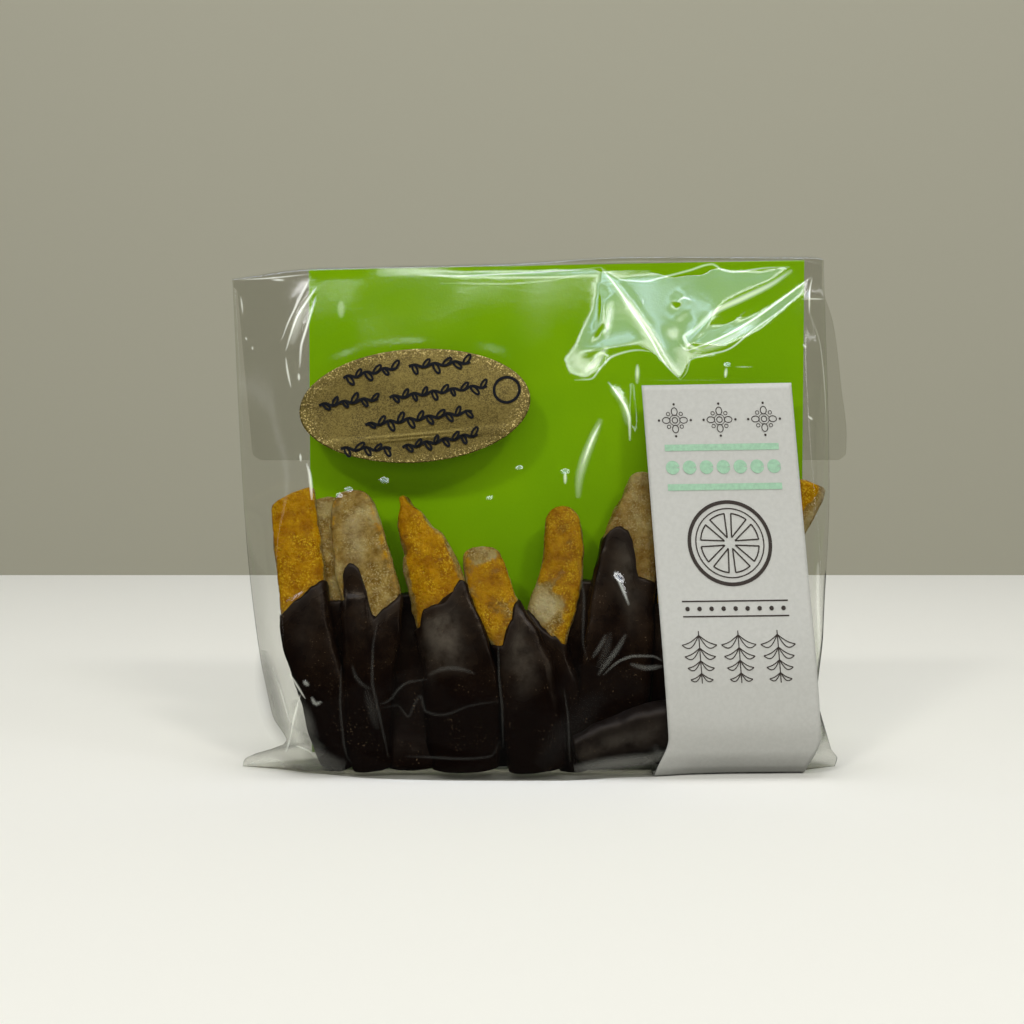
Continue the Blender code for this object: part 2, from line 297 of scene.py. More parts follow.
class Shader:
    """A material's node tree, with short ways to add a node and to link it."""

    def __init__(self, name):
        self.material = bpy.data.materials.new(name)
        self.material.use_nodes = True
        self.tree = self.material.node_tree
        self.tree.nodes.clear()

    def put(self, socket, value):
        """Links a socket, or sets its value. A colour is given without its alpha."""
        if isinstance(value, bpy.types.NodeSocket):
            self.tree.links.new(value, socket)
        else:
            socket.default_value = (*value, 1.0) if socket.type == "RGBA" else value

    def node(self, kind, values=(), settings=None, **inputs):
        """A node, with values for its first inputs and then for inputs by name."""
        made = self.tree.nodes.new("ShaderNode" + kind)
        for key, value in (settings or {}).items():
            setattr(made, key, value)
        for socket, value in zip(made.inputs, values):
            self.put(socket, value)
        for key, value in inputs.items():
            self.put(made.inputs[key.replace("_", " ")], value)
        return made

    def add(self, kind, values=(), settings=None, **inputs):
        """A node's first output."""
        return self.node(kind, values, settings, **inputs).outputs[0]

    def mix(self, factor, first, second):
        made = self.node("Mix", settings={"data_type": "RGBA"}, Factor=factor, A=first, B=second)
        return made.outputs["Result"]

    def math(self, operation, first, second, clamp=False):
        return self.add("Math", (first, second), {"operation": operation, "use_clamp": clamp})

    def times(self, first, second):
        return self.math("MULTIPLY", first, second)

    def attribute(self, name):
        return self.node("Attribute", settings={"attribute_name": name}).outputs["Fac"]

    def place(self):
        return self.node("TexCoord").outputs["Object"]

    def speckle(self, size, detail=3.0, roughness=0.6):
        """Noise from 0 to 1 with features of about this size."""
        grain = {"Scale": 1.0 / size, "Detail": detail, "Roughness": roughness}
        return self.add("TexNoise", Vector=self.place(), **grain)

    def ramp(self, factor, low, high):
        limits = {"From Min": low, "From Max": high}
        smooth = {"interpolation_type": "SMOOTHSTEP"}
        return self.add("MapRange", settings=smooth, Value=factor, **limits)

    def cloud(self, size, low, high, detail=3.0, roughness=0.6):
        """Speckle, as 0 where it is below low and 1 where it is above high."""
        return self.ramp(self.speckle(size, detail, roughness), low, high)

    def bump(self, height, distance, strength=1.0, **normal):
        return self.add("Bump", Height=height, Distance=distance, Strength=strength, **normal)

    def surface(self, colour, roughness, **settings):
        """The material, finished with a principled shader."""
        return self.finish(self.add("BsdfPrincipled", Base_Color=colour, Roughness=roughness, **settings))

    def finish(self, shader):
        self.node("OutputMaterial", Surface=shader)
        return self.material


FILM_TINT = (0.955, 0.955, 0.935)
FILM_GLOSS = 0.075
BLACK = (0.0, 0.0, 0.0)
WHITE = (1.0, 1.0, 1.0)


def film_material():
    """Thin clear film: what lies behind shows through, and its folds mirror the lights."""
    s = Shader("clear_film")
    ripple = s.bump(s.speckle(0.0016, 2.0), 0.00002)
    facing = s.node("LayerWeight", Blend=0.5, Normal=ripple).outputs["Facing"]
    grazing = s.times(s.math("POWER", facing, 5.0), 1 - FILM_GLOSS)
    shine = s.math("ADD", grazing, FILM_GLOSS, clamp=True)
    clear = s.add("BsdfTransparent", Color=FILM_TINT)
    gloss = s.add("BsdfAnisotropic", settings={"distribution": "BECKMANN"}, Roughness=0.15, Normal=ripple)
    return s.finish(s.add("MixShader", (shine, clear, gloss)))


def painted_glint_material():
    """Painted highlights: a lit white line over what lies behind, standing in for the glint along a crease
    in the film. Where grey is 1, a grey veil that dims what lies behind.
    """
    s = Shader("painted_film_glints_and_veils")
    strength = s.attribute("strength")
    grey = s.attribute("grey")
    # Painted highlight: the creases' white, and the veils' grey.
    white = s.mix(strength, BLACK, s.mix(grey, (0.93, 0.96, 0.92), (0.25, 0.25, 0.235)))
    veil = s.mix(strength, WHITE, s.mix(grey, (0.75, 0.75, 0.75), (0.25, 0.25, 0.25)))
    painted_light = s.add("BsdfDiffuse", Color=white)
    gloss = s.add("BsdfAnisotropic", Color=white, Roughness=0.42)
    lit = s.add("MixShader", (0.15, painted_light, gloss))
    return s.finish(s.add("AddShader", (s.add("BsdfTransparent", Color=veil), lit)))


def card_material():
    s = Shader("green_card")
    colour = s.mix(s.cloud(0.030, 0.3, 0.7, 2.0), (0.225, 0.482, 0.001), (0.262, 0.53, 0.001))
    grain = s.bump(s.speckle(0.0006, 4.0), 0.00004)
    return s.surface(colour, 0.42, Normal=grain, Specular_IOR_Level=0.06)


def peel_material():
    """Candied peel: amber zest and pale pith, mottled, with flecks of sugar."""
    s = Shader("candied_peel")
    zest = s.attribute("zest")
    mottle = s.cloud(0.0024, 0.30, 0.70, 5.0, 0.62)
    flecks = s.times(s.cloud(0.00042, 0.48, 0.66, 2.0), s.cloud(0.0045, 0.36, 0.62, 2.0))
    orange = s.mix(mottle, (0.28, 0.108, 0.0), (0.50, 0.255, 0.0))
    orange = s.mix(s.times(flecks, 0.75), orange, (0.74, 0.50, 0.02))
    pith = s.mix(mottle, (0.17, 0.092, 0.010), (0.38, 0.265, 0.075))
    pith = s.mix(s.times(s.cloud(0.0075, 0.50, 0.66), 0.6), pith, (0.52, 0.44, 0.20))
    pith = s.mix(s.times(flecks, 0.55), pith, (0.64, 0.55, 0.28))
    white = s.ramp(s.times(zest, -1.0), 0.05, 0.60)
    white = s.times(white, s.math("ADD", s.times(mottle, 0.35), 0.35))
    pith = s.mix(white, pith, (0.58, 0.52, 0.31))
    edge = s.math("ADD", zest, s.times(s.math("SUBTRACT", mottle, 0.5), 0.4), clamp=True)
    colour = s.mix(s.ramp(edge, 0.30, 0.70), pith, orange)
    colour = s.mix(s.attribute("tint"), colour, (0.14, 0.075, 0.018))
    pores = s.add("TexVoronoi", Vector=s.place(), Scale=1.0 / 0.0011)
    relief = s.bump(s.speckle(0.0012, 5.0, 0.7), 0.00050, 0.8)
    relief = s.bump(s.ramp(pores, 0.0, 0.45), 0.00014, 0.6, Normal=relief)
    roughness = s.math("ADD", s.times(s.cloud(0.0012, 0.35, 0.65), 0.30), 0.16)
    specular = {"Specular_IOR_Level": 0.12, "Specular_Tint": (1.0, 0.78, 0.42)}
    glow = {"Subsurface_Weight": 0.25, "Subsurface_Radius": (1.0, 0.40, 0.06), "Subsurface_Scale": 0.0014}
    return s.surface(colour, roughness, Normal=relief, **specular, **glow)


def chocolate_material():
    """Dark chocolate, with a painted highlight in a pale band below the dip's rim where the strips are
    thickest, and painted shade darkening it towards the foot.
    """
    s = Shader("dark_chocolate")
    # Painted shade: the chocolate's lighter tones fade out towards the foot.
    cloud = s.times(s.cloud(0.006, 0.30, 0.75, 4.0), s.attribute("painted_top_light"))
    colour = s.mix(cloud, (0.0030, 0.0006, 0.0001), (0.0200, 0.0110, 0.0055))
    # Painted highlight: a pale grey-brown where the lights would be mirrored below the dip's rim.
    shoulder_highlight = s.times(s.cloud(0.0045, 0.20, 0.70, 4.0), s.attribute("shoulder_highlight"))
    colour = s.mix(shoulder_highlight, colour, (0.115, 0.098, 0.080))
    crumbs = s.times(s.cloud(0.00040, 0.68, 0.74, 1.0), s.cloud(0.0060, 0.48, 0.62, 2.0))
    colour = s.mix(s.times(crumbs, 0.5), colour, (0.16, 0.11, 0.065))
    relief = s.bump(s.speckle(0.0034), 0.00016, 0.5)
    roughness = s.math("ADD", s.times(s.attribute("rim"), 0.22), 0.24)
    specular = {"Specular_IOR_Level": 0.24, "Specular_Tint": (1.0, 0.80, 0.60)}
    return s.surface(colour, roughness, Normal=relief, **specular)


def gold_material():
    """Gold glitter paper: small flakes that face many ways, with painted glints: bright flakes near the
    rim.
    """
    s = Shader("gold_glitter_paper")
    flakes = s.node("TexVoronoi", Vector=s.place(), Scale=1.0 / 0.00020)
    split = s.node("SeparateColor", Color=flakes.outputs["Color"])
    shade = split.outputs["Red"]
    deep = s.mix(s.cloud(0.006, 0.3, 0.7), (0.064, 0.041, 0.005), (0.125, 0.086, 0.012))
    colour = s.mix(shade, deep, (0.235, 0.168, 0.032))
    # Painted glints: some flakes near the rim coloured bright.
    painted_flake_glints = s.times(s.ramp(split.outputs["Green"], 0.84, 0.90), s.ramp(s.attribute("rim"), 0.80, 1.05))
    colour = s.mix(painted_flake_glints, colour, (0.95, 0.72, 0.25))
    return s.surface(colour, 0.42, Metallic=0.65, Normal=s.bump(shade, 0.00005, 0.9))


def paper_material():
    s = Shader("label_paper")
    colour = s.mix(s.cloud(0.0009, 0.30, 0.70, 5.0), (0.555, 0.560, 0.525), (0.595, 0.600, 0.565))
    return s.surface(colour, 0.62, Normal=s.bump(s.speckle(0.0004), 0.000008, 0.5))


def ink_material(name, colour, roughness=0.55):
    """Ink with a slightly uneven tone."""
    s = Shader(name)
    lighter = [min(1.0, c * 1.2 + 0.002) for c in colour]
    mixed = s.mix(s.cloud(0.0008, 0.25, 0.75), colour, lighter)
    return s.surface(mixed, roughness, Specular_IOR_Level=0.12)


def floor_material():
    """A pale table top that throws only part of its light back at the bag."""
    s = Shader("table_top")
    path = s.node("LightPath").outputs
    mirrored = s.times(path["Is Glossy Ray"], 0.96)
    thrown = s.times(path["Is Diffuse Ray"], 0.55)
    colour = s.mix(s.math("ADD", mirrored, thrown, clamp=True), (0.90, 0.90, 0.87), BLACK)
    return s.finish(s.add("BsdfDiffuse", Color=colour))


FILM = film_material()
PAINTED_GLINT = painted_glint_material()
CARD = card_material()
PEEL = peel_material()
CHOCOLATE = chocolate_material()
GOLD = gold_material()
PAPER = paper_material()
PEN_INK = ink_material("pen_ink", (0.004, 0.004, 0.004), 0.6)
DARK_INK = ink_material("dark_brown_ink", (0.045, 0.036, 0.030))
MINT_INK = ink_material("mint_ink", (0.34, 0.56, 0.40))


# The card

CARD_LEFT = -0.0522
CARD_RIGHT = 0.0585
CARD_FOOT = 0.0015
CARD_TOP_LEFT = 0.1103
CARD_TOP_RIGHT = 0.1125
CARD_BACK_Y = BACK_Y - 0.0006
CARD_FRONT_Y = CARD_BACK_Y - 0.0005
CARD_POINTS = 24


def make_card():
    """A plain sheet of coloured card, whose top edge follows the bag's."""
    u, v = np.meshgrid(*[np.linspace(0, 1, CARD_POINTS)] * 2)
    x = CARD_LEFT + (CARD_RIGHT - CARD_LEFT) * u
    top = CARD_TOP_LEFT + (CARD_TOP_RIGHT - CARD_TOP_LEFT) * u
    z = CARD_FOOT + (top - CARD_FOOT) * v
    front, back = (np.stack([x, 0 * x + y, z], axis=-1) for y in (CARD_FRONT_Y, CARD_BACK_Y))
    card = make_skin("green_card", front, back, CARD, "bag")
    card.data.set_sharp_from_angle(angle=math.radians(40))


# The strips of peel, in millimetres. Each path runs from the foot to the tip, as (x, z, half the
# width, how far its front lies behind the film). The dip gives the height where the chocolate ends at
# places across the strip, from -1 at its left edge to 1 at its right, and a strip without one is all
# chocolate. Zest is 1 on a strip that shows its skin and 0 on one that shows its pith. A pale patch is
# (place across, height, half its width, half its height). The other settings run from 0 to 1, except
# the roll, in degrees.

# Two of the settings paint a highlight on the chocolate: one in a band below the dip's rim, one along the
# whole strip.
USUAL = dict(
    zest=0.9, amber=0, tint=0, whiteness=0.35, shoulder_highlight=0.5, lengthwise_highlight=0, dull=0,
    slant=0, blunt=0.35, round=0.25, roll=0,
)
STRIPS = [
    dict(
        path=[
            (-43.8, 1, 3.2, 1.4), (-46.2, 9.5, 4.2, 0.8), (-47.1, 16, 4.6, 0.6), (-50, 26, 5, 0.6),
            (-52, 36, 5.2, 0.6), (-53.4, 46.8, 5.1, 0.6), (-55.2, 61, 4.8, 0.8),
        ],
        dip=[(-1, 35.7), (-0.2, 37.6), (0.4, 39.6), (1, 41.6)],
        thickness=4, zest=1, slant=0.31, blunt=0.86, roll=-4, shoulder_highlight=0.1,
    ),
    dict(
        path=[
            (-41.5, 1, 3, 7.5), (-44.5, 20, 3.8, 6), (-46.8, 40, 4.2, 4.6), (-47.7, 50, 4.2, 4),
            (-47.6, 60, 3.8, 3.4),
        ],
        dip=[(-1, 37), (1, 37)],
        thickness=4, zest=0.12, slant=0.1, roll=8, shoulder_highlight=0,
    ),
    dict(
        path=[
            (-36.7, 1, 3.8, 1.2), (-38, 10, 4.5, 1), (-37.4, 22, 5.2, 1), (-37.4, 38, 6.5, 1),
            (-38.8, 43.6, 6.4, 1), (-40, 49, 5.9, 1), (-41.4, 55, 5.2, 1.2), (-42, 61.6, 4, 1.6),
        ],
        dip=[
            (-1, 37.8), (-0.78, 37.8), (-0.73, 43.6), (-0.64, 45.7), (-0.44, 46.6), (-0.24, 46),
            (-0.13, 44.6), (-0.07, 40), (0, 36.6), (0.13, 33.4), (0.4, 35.4), (0.8, 37.6), (1, 38.6),
        ],
        thickness=4.4, zest=0.1, blunt=0.25, roll=5, shoulder_highlight=0, pale=(-0.1, 50, 0.8, 10), amber=0.45,
    ),
    dict(
        path=[
            (-16.6, 1, 6.6, 1), (-17.2, 10, 7.6, 0.6), (-18, 22, 7.6, 0.6), (-20.6, 32, 7, 0.6),
            (-23.4, 40.5, 6.3, 0.6), (-24.6, 44.6, 6, 0.6), (-25.9, 48.9, 5.1, 0.7),
            (-27.5, 51.5, 4, 0.8), (-29, 55, 3.1, 1.2), (-30.2, 58.4, 1, 2.2), (-30.8, 60.2, 0.9, 2.8),
        ],
        dip=[
            (-1, 33.6), (-0.75, 34), (-0.5, 37.2), (-0.1, 37), (0.2, 36.8), (0.5, 37.8), (0.8, 39.2),
            (1, 39.8),
        ],
        thickness=4.8, zest=0.85, blunt=0.2, roll=10, shoulder_highlight=1, pale=(-1, 43, 0.3, 12),
    ),
    dict(
        path=[
            (-1.3, 1, 6, 1), (-2.3, 12, 6.2, 0.6), (-3.4, 22, 5.8, 0.6), (-5.4, 28.5, 5, 0.4),
            (-8.3, 33, 4.9, 0.4), (-10.4, 37.3, 4.8, 0.4), (-12.4, 43, 4.7, 0.5),
            (-13.3, 46.8, 4.3, 0.8), (-13.4, 49.4, 3.4, 1.2),
        ],
        dip=[(-1, 31), (-0.6, 29.6), (-0.2, 31.2), (0.3, 33), (0.7, 35), (1, 36.2)],
        thickness=4.4, zest=0.72, blunt=0.72, roll=-8, shoulder_highlight=0.7, tint=0.1, pale=(0, 49.5, 0.9, 3.6),
    ),
    dict(
        path=[
            (9, 1, 5, 3.4), (4.8, 15, 4.8, 3.2), (1.8, 26.8, 3.4, 3), (1.4, 31, 4.4, 2.8),
            (1.8, 35.2, 5.3, 2.8), (3.1, 39.4, 5, 2.8), (4.2, 43.6, 4.7, 2.8), (4.7, 49, 4.4, 2.8),
            (4.4, 53.1, 4, 3), (4.3, 58, 2.8, 3.4),
        ],
        dip=[(-1, 34.8), (-0.3, 31.5), (0.4, 29.5), (1, 27.6)],
        thickness=4.6, zest=0.8, roll=8, tint=0.18, shoulder_highlight=0, pale=(-0.35, 35.6, 1.05, 6.4),
        whiteness=0.7,
    ),
    dict(
        path=[
            (16.5, 1, 6.6, 6), (15, 17.6, 7.4, 2.4), (16.1, 28, 7.3, 1.2), (17, 38.3, 6.5, 1),
            (18.8, 46.8, 6.4, 1), (20.3, 53.5, 5.8, 1.2), (21.7, 60, 4, 1.8), (22.2, 65.5, 2.4, 2.6),
        ],
        dip=[
            (-1, 49.5), (-0.9, 51), (-0.65, 52.4), (-0.3, 52), (-0.05, 50), (0.1, 47.5), (0.2, 45),
            (0.35, 43.4), (1, 43),
        ],
        thickness=5, zest=0.08, blunt=0.45, roll=-8, tint=0.36,
    ),
    dict(
        path=[
            (30, 1, 6.2, 9), (30.5, 25, 6.4, 1.6), (31.2, 42, 6, 1.4), (31.6, 56, 5, 1.8),
        ],
        dip=[(-1, 37), (1, 34)],
        thickness=4.8, slant=0.1, blunt=0.8, roll=5,
    ),
    dict(
        path=[
            (42.5, 1, 6, 9), (43, 25, 6.4, 1.6), (43.5, 42, 6, 1.4), (44, 58, 5, 2),
        ],
        dip=[(-1, 35), (1, 39)],
        thickness=4.8, zest=0.1, slant=-0.1, blunt=0.8, roll=-5,
    ),
    dict(
        path=[
            (50.2, 1, 4.2, 6), (50.6, 25, 4.8, 4), (50.8, 42, 4.9, 3.6), (51.7, 50, 5, 3),
            (55.8, 58.6, 5.4, 2.4), (58.4, 63.6, 5.2, 2.2),
        ],
        dip=[(-1, 41), (1, 39)],
        thickness=4, zest=0.8, slant=0.2, blunt=0.88, roll=-10, pale=(1, 55, 0.75, 16),
    ),
    dict(
        path=[
            (-28.2, 1, 5.2, 1.8), (-29, 20, 5.6, 7), (-29.4, 34, 4.8, 7.4), (-29.6, 39, 3.8, 7),
        ],
        thickness=4.2, zest=0.2, blunt=0.7, shoulder_highlight=0,
    ),
    dict(
        path=[
            (-9.5, 1, 5.8, 8), (-9.5, 15, 5.6, 7.4), (-10, 26, 5, 6), (-10.8, 34, 3.8, 5.4),
        ],
        thickness=4.2, blunt=0.6, shoulder_highlight=0,
    ),
    dict(
        path=[
            (9, 1, 5, 9), (9, 18, 5, 8), (8.8, 30, 4.4, 6.6), (9.2, 42, 3, 5.4),
        ],
        thickness=4, blunt=0.6, shoulder_highlight=0,
    ),
    dict(
        path=[
            (26.5, 1, 6, 15), (26.8, 18, 6.2, 12), (26.2, 33, 5.6, 8), (25.6, 44, 4.2, 6.4),
        ],
        thickness=4.4, blunt=0.7, shoulder_highlight=0,
    ),
    dict(
        path=[
            (6.2, 5.6, 3, 1), (14, 7.9, 4.6, 0.6), (23, 10.4, 5, 0.6), (34, 11.8, 5, 0.8),
            (48, 11.2, 4.2, 1),
        ],
        thickness=6.6, zest=0.1, round=0.8, lengthwise_highlight=0.35, dull=0.9,
    ),
]
RING = 76
ACROSS_POWER = 0.34
THROUGH_POWER = 0.42
WIDE_FOR_THICK = 2.4
PATH_SAMPLES = 200
PATH_BLUR = 25
PATH_FROM_LEFT = 0.009
PATH_FROM_RIGHT = 0.005
PEEL_ROWS = 120
COAT_ROWS = 130
COAT = 0.0006
COAT_ROUND = 0.0008
FOOT_ROUND = 0.0014
TIP_ROUND = 0.0006
EDGE_ROUND = 0.0010
FILM_GAP = 0.00055
PRESS = 0.0004
STRIP_LOWEST = 0.0008
STRIP_BEFORE_BACK = 0.0018
# Where across the strip the painted highlight on the chocolate lies, and how wide it is.
SHOULDER_HIGHLIGHT_MIDDLE = -0.1
SHOULDER_HIGHLIGHT_WIDTH = 0.5


def section_points():
    """Points evenly round a boxy section, as shares of half its width and half its thickness."""
    angle = np.linspace(0, 2 * math.pi, 4000)
    across = np.sign(np.cos(angle)) * np.abs(np.cos(angle)) ** ACROSS_POWER
    through = np.sign(np.sin(angle)) * np.abs(np.sin(angle)) ** THROUGH_POWER
    run = run_along(np.stack([across * WIDE_FOR_THICK, through], axis=1))
    even = np.linspace(0, run[-1], RING, endpoint=False)
    return np.interp(even, run, across), np.interp(even, run, through)


ACROSS, THROUGH = section_points()


class Strip:
    """One strip of peel: a path up the bag's front with a rounded section swept along it."""

    def __init__(self, number, settings):
        self.settings = {**USUAL, **settings}
        self.name = f"strip_{number}"
        self.seed = 100 * number
        self.outside = 1 if self.settings["zest"] > 0.5 else -1
        self.thickness = settings["thickness"] * MM
        path = np.array(settings["path"]) * MM
        run = run_along(path[:, :2])
        self.length = run[-1]
        self.t = np.linspace(0, 1, PATH_SAMPLES)
        curves = [curve_through(np.stack([run / self.length, line], axis=1))(self.t) for line in path.T]
        self.x, self.z, self.half_width, behind = curves
        left, right = left_edge(self.z) + PATH_FROM_LEFT, right_edge(self.z) - PATH_FROM_RIGHT
        y = front_y(np.clip(self.x, left, right), self.z) + behind + self.thickness / 2 + COAT
        y = np.pad(y, PATH_BLUR // 2, mode="edge")
        self.y = np.convolve(y, np.ones(PATH_BLUR) / PATH_BLUR, "valid")

    def at(self, t, line):
        return np.interp(t, self.t, line)

    def surface(self, t, grow=0.0):
        """Rings of points at shares t of the length. THROUGH is 1 on the side that faces front."""
        c = self.settings
        across, through = np.broadcast_to(ACROSS, t.shape), np.broadcast_to(THROUGH, t.shape)
        lines = (self.x, self.y, self.z)
        centre = np.stack([self.at(t, line) for line in lines], axis=-1)
        along = unit(np.stack([self.at(t, np.gradient(line)) for line in lines], axis=-1))
        front = unit(np.array([0.0, -1.0, 0.0]) + along * along[..., 1:2])
        wide = np.cross(along, front)
        wide *= np.where(wide[..., :1] + wide[..., 2:] < 0, -1.0, 1.0)
        wide, front = turned(wide, front, -math.radians(c["roll"]))
        half_width = self.at(t, self.half_width)
        end = np.minimum(t, 1 - t) * self.length
        taper = rounded(end, np.where(t < 0.5, FOOT_ROUND, TIP_ROUND + (1 - c["blunt"]) * half_width))
        wobble = np.stack([across * 0.004, through * 0.004, t * self.length], axis=-1)
        ragged = 0.05 * layered_noise(wobble, 0.006, self.seed)
        ragged += 0.018 * noise(wobble, 0.0012, self.seed + 5)
        cup = 0.10 * half_width * (across**2 - 0.4) * self.outside
        thick = self.thickness / 2 * (1 + 0.14 * noise(wobble, 0.009, self.seed + 9)) + grow
        slant = c["slant"] * half_width * across * taper * smooth_step(0.6, 1.0, t)
        side = (half_width * (1 + ragged) + grow) * across * taper
        soft = 1 - c["round"] * across**4
        depth = (thick * through * soft - cup) * rounded(end, EDGE_ROUND)
        return centre + along * slant[..., None] + wide * side[..., None] + front * depth[..., None]

    def dip(self, across):
        """Where the chocolate ends, as a share of the length, by the place across the strip."""
        if "dip" not in self.settings:
            return np.ones_like(across)
        places, heights = zip(*self.settings["dip"])
        height = np.interp(across, places, heights) * MM
        place = np.stack([across * 0.006, THROUGH * 0.003, height], axis=-1)
        height = height + 0.0005 * layered_noise(place, 0.0022, self.seed + 40)
        return np.interp(height, self.z, self.t)

    def roughened(self, points, amount, gap):
        """Points moved outwards from the strip's middle line, and kept a gap behind the film."""
        points = points + unit(points - points.mean(axis=1, keepdims=True)) * amount[..., None]
        x, y, z = np.moveaxis(points, -1, 0)
        limit = front_y(np.clip(x, left_edge(z), right_edge(z)), np.clip(z, 0, HEIGHT)) + gap
        over = np.clip(limit + PRESS - y, 0, None)
        y = np.where(over > 0, limit + PRESS * np.exp(-over / PRESS), y)
        y = np.minimum(y, BACK_Y - STRIP_BEFORE_BACK)
        return np.stack([x, y, np.maximum(z, STRIP_LOWEST)], axis=-1)

    def skin(self, name, points, material):
        """The swept skin, closed at both ends."""
        rows = len(points)
        ends = [list(range(RING))[::-1], [(rows - 1) * RING + i for i in range(RING)]]
        faces = grid_faces(rows, RING, round_columns=True) + ends
        return new_object(self.name + name, points, faces, material, "bag")

    def peel(self):
        c = self.settings
        t = np.repeat((np.linspace(0, 1, PEEL_ROWS) ** 0.9)[:, None], RING, axis=1)
        points = self.surface(t)
        bumps = 0.00014 * layered_noise(points, 0.0022, self.seed + 70)
        bumps += 0.00025 * noise(points, 0.0055, self.seed + 80)
        points = self.roughened(points, bumps, FILM_GAP + COAT)
        thing = self.skin("_peel", points, PEEL)
        spread = max(c["zest"], 1 - c["zest"])
        zest = smooth_step(-0.2, 0.7, THROUGH * self.outside) * spread
        zest = zest + 0.20 * layered_noise(points, 0.004, self.seed + 60, 2)
        zest = zest + c["amber"] * smooth_step(0.30, 0.95, np.abs(ACROSS)) * (THROUGH > 0)
        if "pale" in c:
            middle, height, wide, tall = c["pale"]
            far = np.hypot((ACROSS - middle) / wide, (points[..., 2] / MM - height) / tall)
            far = far + 0.3 * layered_noise(points, 0.005, self.seed + 65, 2)
            zest = zest * smooth_step(0.4, 1.2, far) - c["whiteness"] * (1 - smooth_step(0.2, 1.1, far))
        zest = zest * (1 - 0.55 * smooth_step(0.86, 1.0, np.abs(ACROSS)))
        add_attribute(thing, "zest", np.clip(zest, -0.7, 1))
        above_coat = points[..., 2] - self.at(self.dip(ACROSS), self.z)
        tint = c["tint"] + 0.30 * smooth_step(0.003, 0.0, above_coat)
        add_attribute(thing, "tint", np.clip(tint, 0, 1))
        return thing

    def coat(self):
        c = self.settings
        end = self.dip(ACROSS)[None, :]
        t = np.linspace(0, 1, COAT_ROWS)[:, None] * end
        from_rim = (end - t) * self.length
        grow = COAT * (rounded(from_rim, COAT_ROUND) if "dip" in c else np.ones_like(t))
        points = self.surface(t, grow - 0.0001)
        swell = 0.00028 * layered_noise(points * (1, 1, 0.35), 0.0040, self.seed + 20, 2) * (grow / COAT)
        points = self.roughened(points, swell, FILM_GAP)
        thing = self.skin("_chocolate", points, CHOCOLATE)
        # Painted highlight: a pale band a little below the rim, down the middle of the strip's front.
        below = smooth_step(0.001, 0.004, from_rim) * (1 - smooth_step(0.006, 0.017, from_rim))
        middle = np.exp(-(((ACROSS - SHOULDER_HIGHLIGHT_MIDDLE) / SHOULDER_HIGHLIGHT_WIDTH) ** 2)) * (THROUGH > 0)
        add_attribute(thing, "shoulder_highlight", (below * c["shoulder_highlight"] + c["lengthwise_highlight"]) * middle)
        # Painted shade: 1 high on the strip, falling towards the foot.
        add_attribute(thing, "painted_top_light", 0.08 + 0.92 * smooth_step(0.012, 0.036, points[..., 2]))
        dull = 1 - smooth_step(0.0, 0.0035, from_rim) + c["dull"]
        add_attribute(thing, "rim", np.clip(dull, 0, 1))
        return thing


def make_strips():
    made = []
    for number, settings in enumerate(STRIPS, start=1):
        strip = Strip(number, settings)
        if "dip" in settings:
            made.append(strip.peel())
        made.append(strip.coat())
    return made


# The film, with its tables in millimetres. Each fold is a raised line on the front: height, width,
# points as (x, z).

FOLDS = [
    (0.35, 1.6, [(13.1, 110.3), (17.2, 107.1), (24.1, 96.7), (27.2, 90.6), (30, 86.2)]),
    (0.5, 1, [(12, 108), (13.5, 104), (12.8, 98.5), (10, 93)]),
    (0.35, 2.4, [(6.2, 90.5), (10, 92.4), (15, 93), (20.9, 94.2), (24.5, 93.4)]),
    (0.45, 2.2, [(40.5, 101.5), (35.2, 97.5), (33, 94), (40, 93.5), (50, 98.5)]),
    (0.2, 2.4, [(34, 104), (29, 99), (28.5, 94)]), (0.4, 0.9, [(28.3, 104.2), (31, 102.5)]),
    (0.45, 1.4, [(14.4, 85.3), (17, 81.3), (18.7, 78.4), (19.1, 72.3)]),
    (0.45, 2, [(12.8, 77.1), (10.3, 71.5), (8.5, 67.7), (7.6, 59.9)]),
    (0.15, 1, [(-51.6, 109), (-55.4, 101.6), (-58.3, 94.9)]),
    (0.15, 1.1, [(-50.7, 107), (-53.6, 102.1), (-57.4, 92.5), (-55.9, 83.7)]),
    (0.15, 1, [(-50.5, 104.1), (-52.5, 97.8), (-53.9, 90.2), (-54, 83.7)]),
    (0.5, 0.9, [(59.5, 109.2), (59.4, 100.7), (61.5, 93.3), (62.3, 73.2)]),
    (0.5, 0.8, [(57.7, 103.9), (62.8, 103.9)]), (0.3, 1.2, [(-10, 37), (-9.2, 24), (-9, 6)]),
    (0.45, 0.8, [(15.3, 44.6), (16.6, 41.4), (17.6, 38.4), (18.2, 36.6)]),
]
# Where the film leans further back than elsewhere, so that it mirrors the ceiling, as (x, z).
SLACK_OUTLINES = [
    [
        (12.9, 110.7), (16.7, 107.8), (19.9, 108.5), (27.7, 109.3), (31.3, 109.5), (37.3, 111.4),
        (41.9, 109.8), (49, 109.5), (55.4, 111.2), (50.5, 107.8), (44.8, 105.3), (40.5, 103.2),
        (37.7, 100.5), (36.5, 97.5), (42, 97.6), (49.1, 101.1), (53.4, 103.9), (59.5, 108.2),
        (57.6, 104.7), (51.9, 100), (49, 97.5), (42, 92.2), (37.7, 90.4), (32.8, 90.1), (31.3, 87.9),
        (30.1, 85.6), (26.2, 89), (23.5, 91.9), (20.6, 92.7), (16.3, 91.1), (12.8, 87.6), (9.3, 85.8),
        (6.1, 86.9), (4.7, 90.1), (7.1, 93.3), (11, 101.1), (12.5, 106.8),
    ],
    [
        (-27, 109.5), (-10, 109.8), (0.4, 110), (12.9, 110.7), (12, 109.2), (4, 108.6), (-10, 108.4),
        (-22, 108.9),
    ],
]
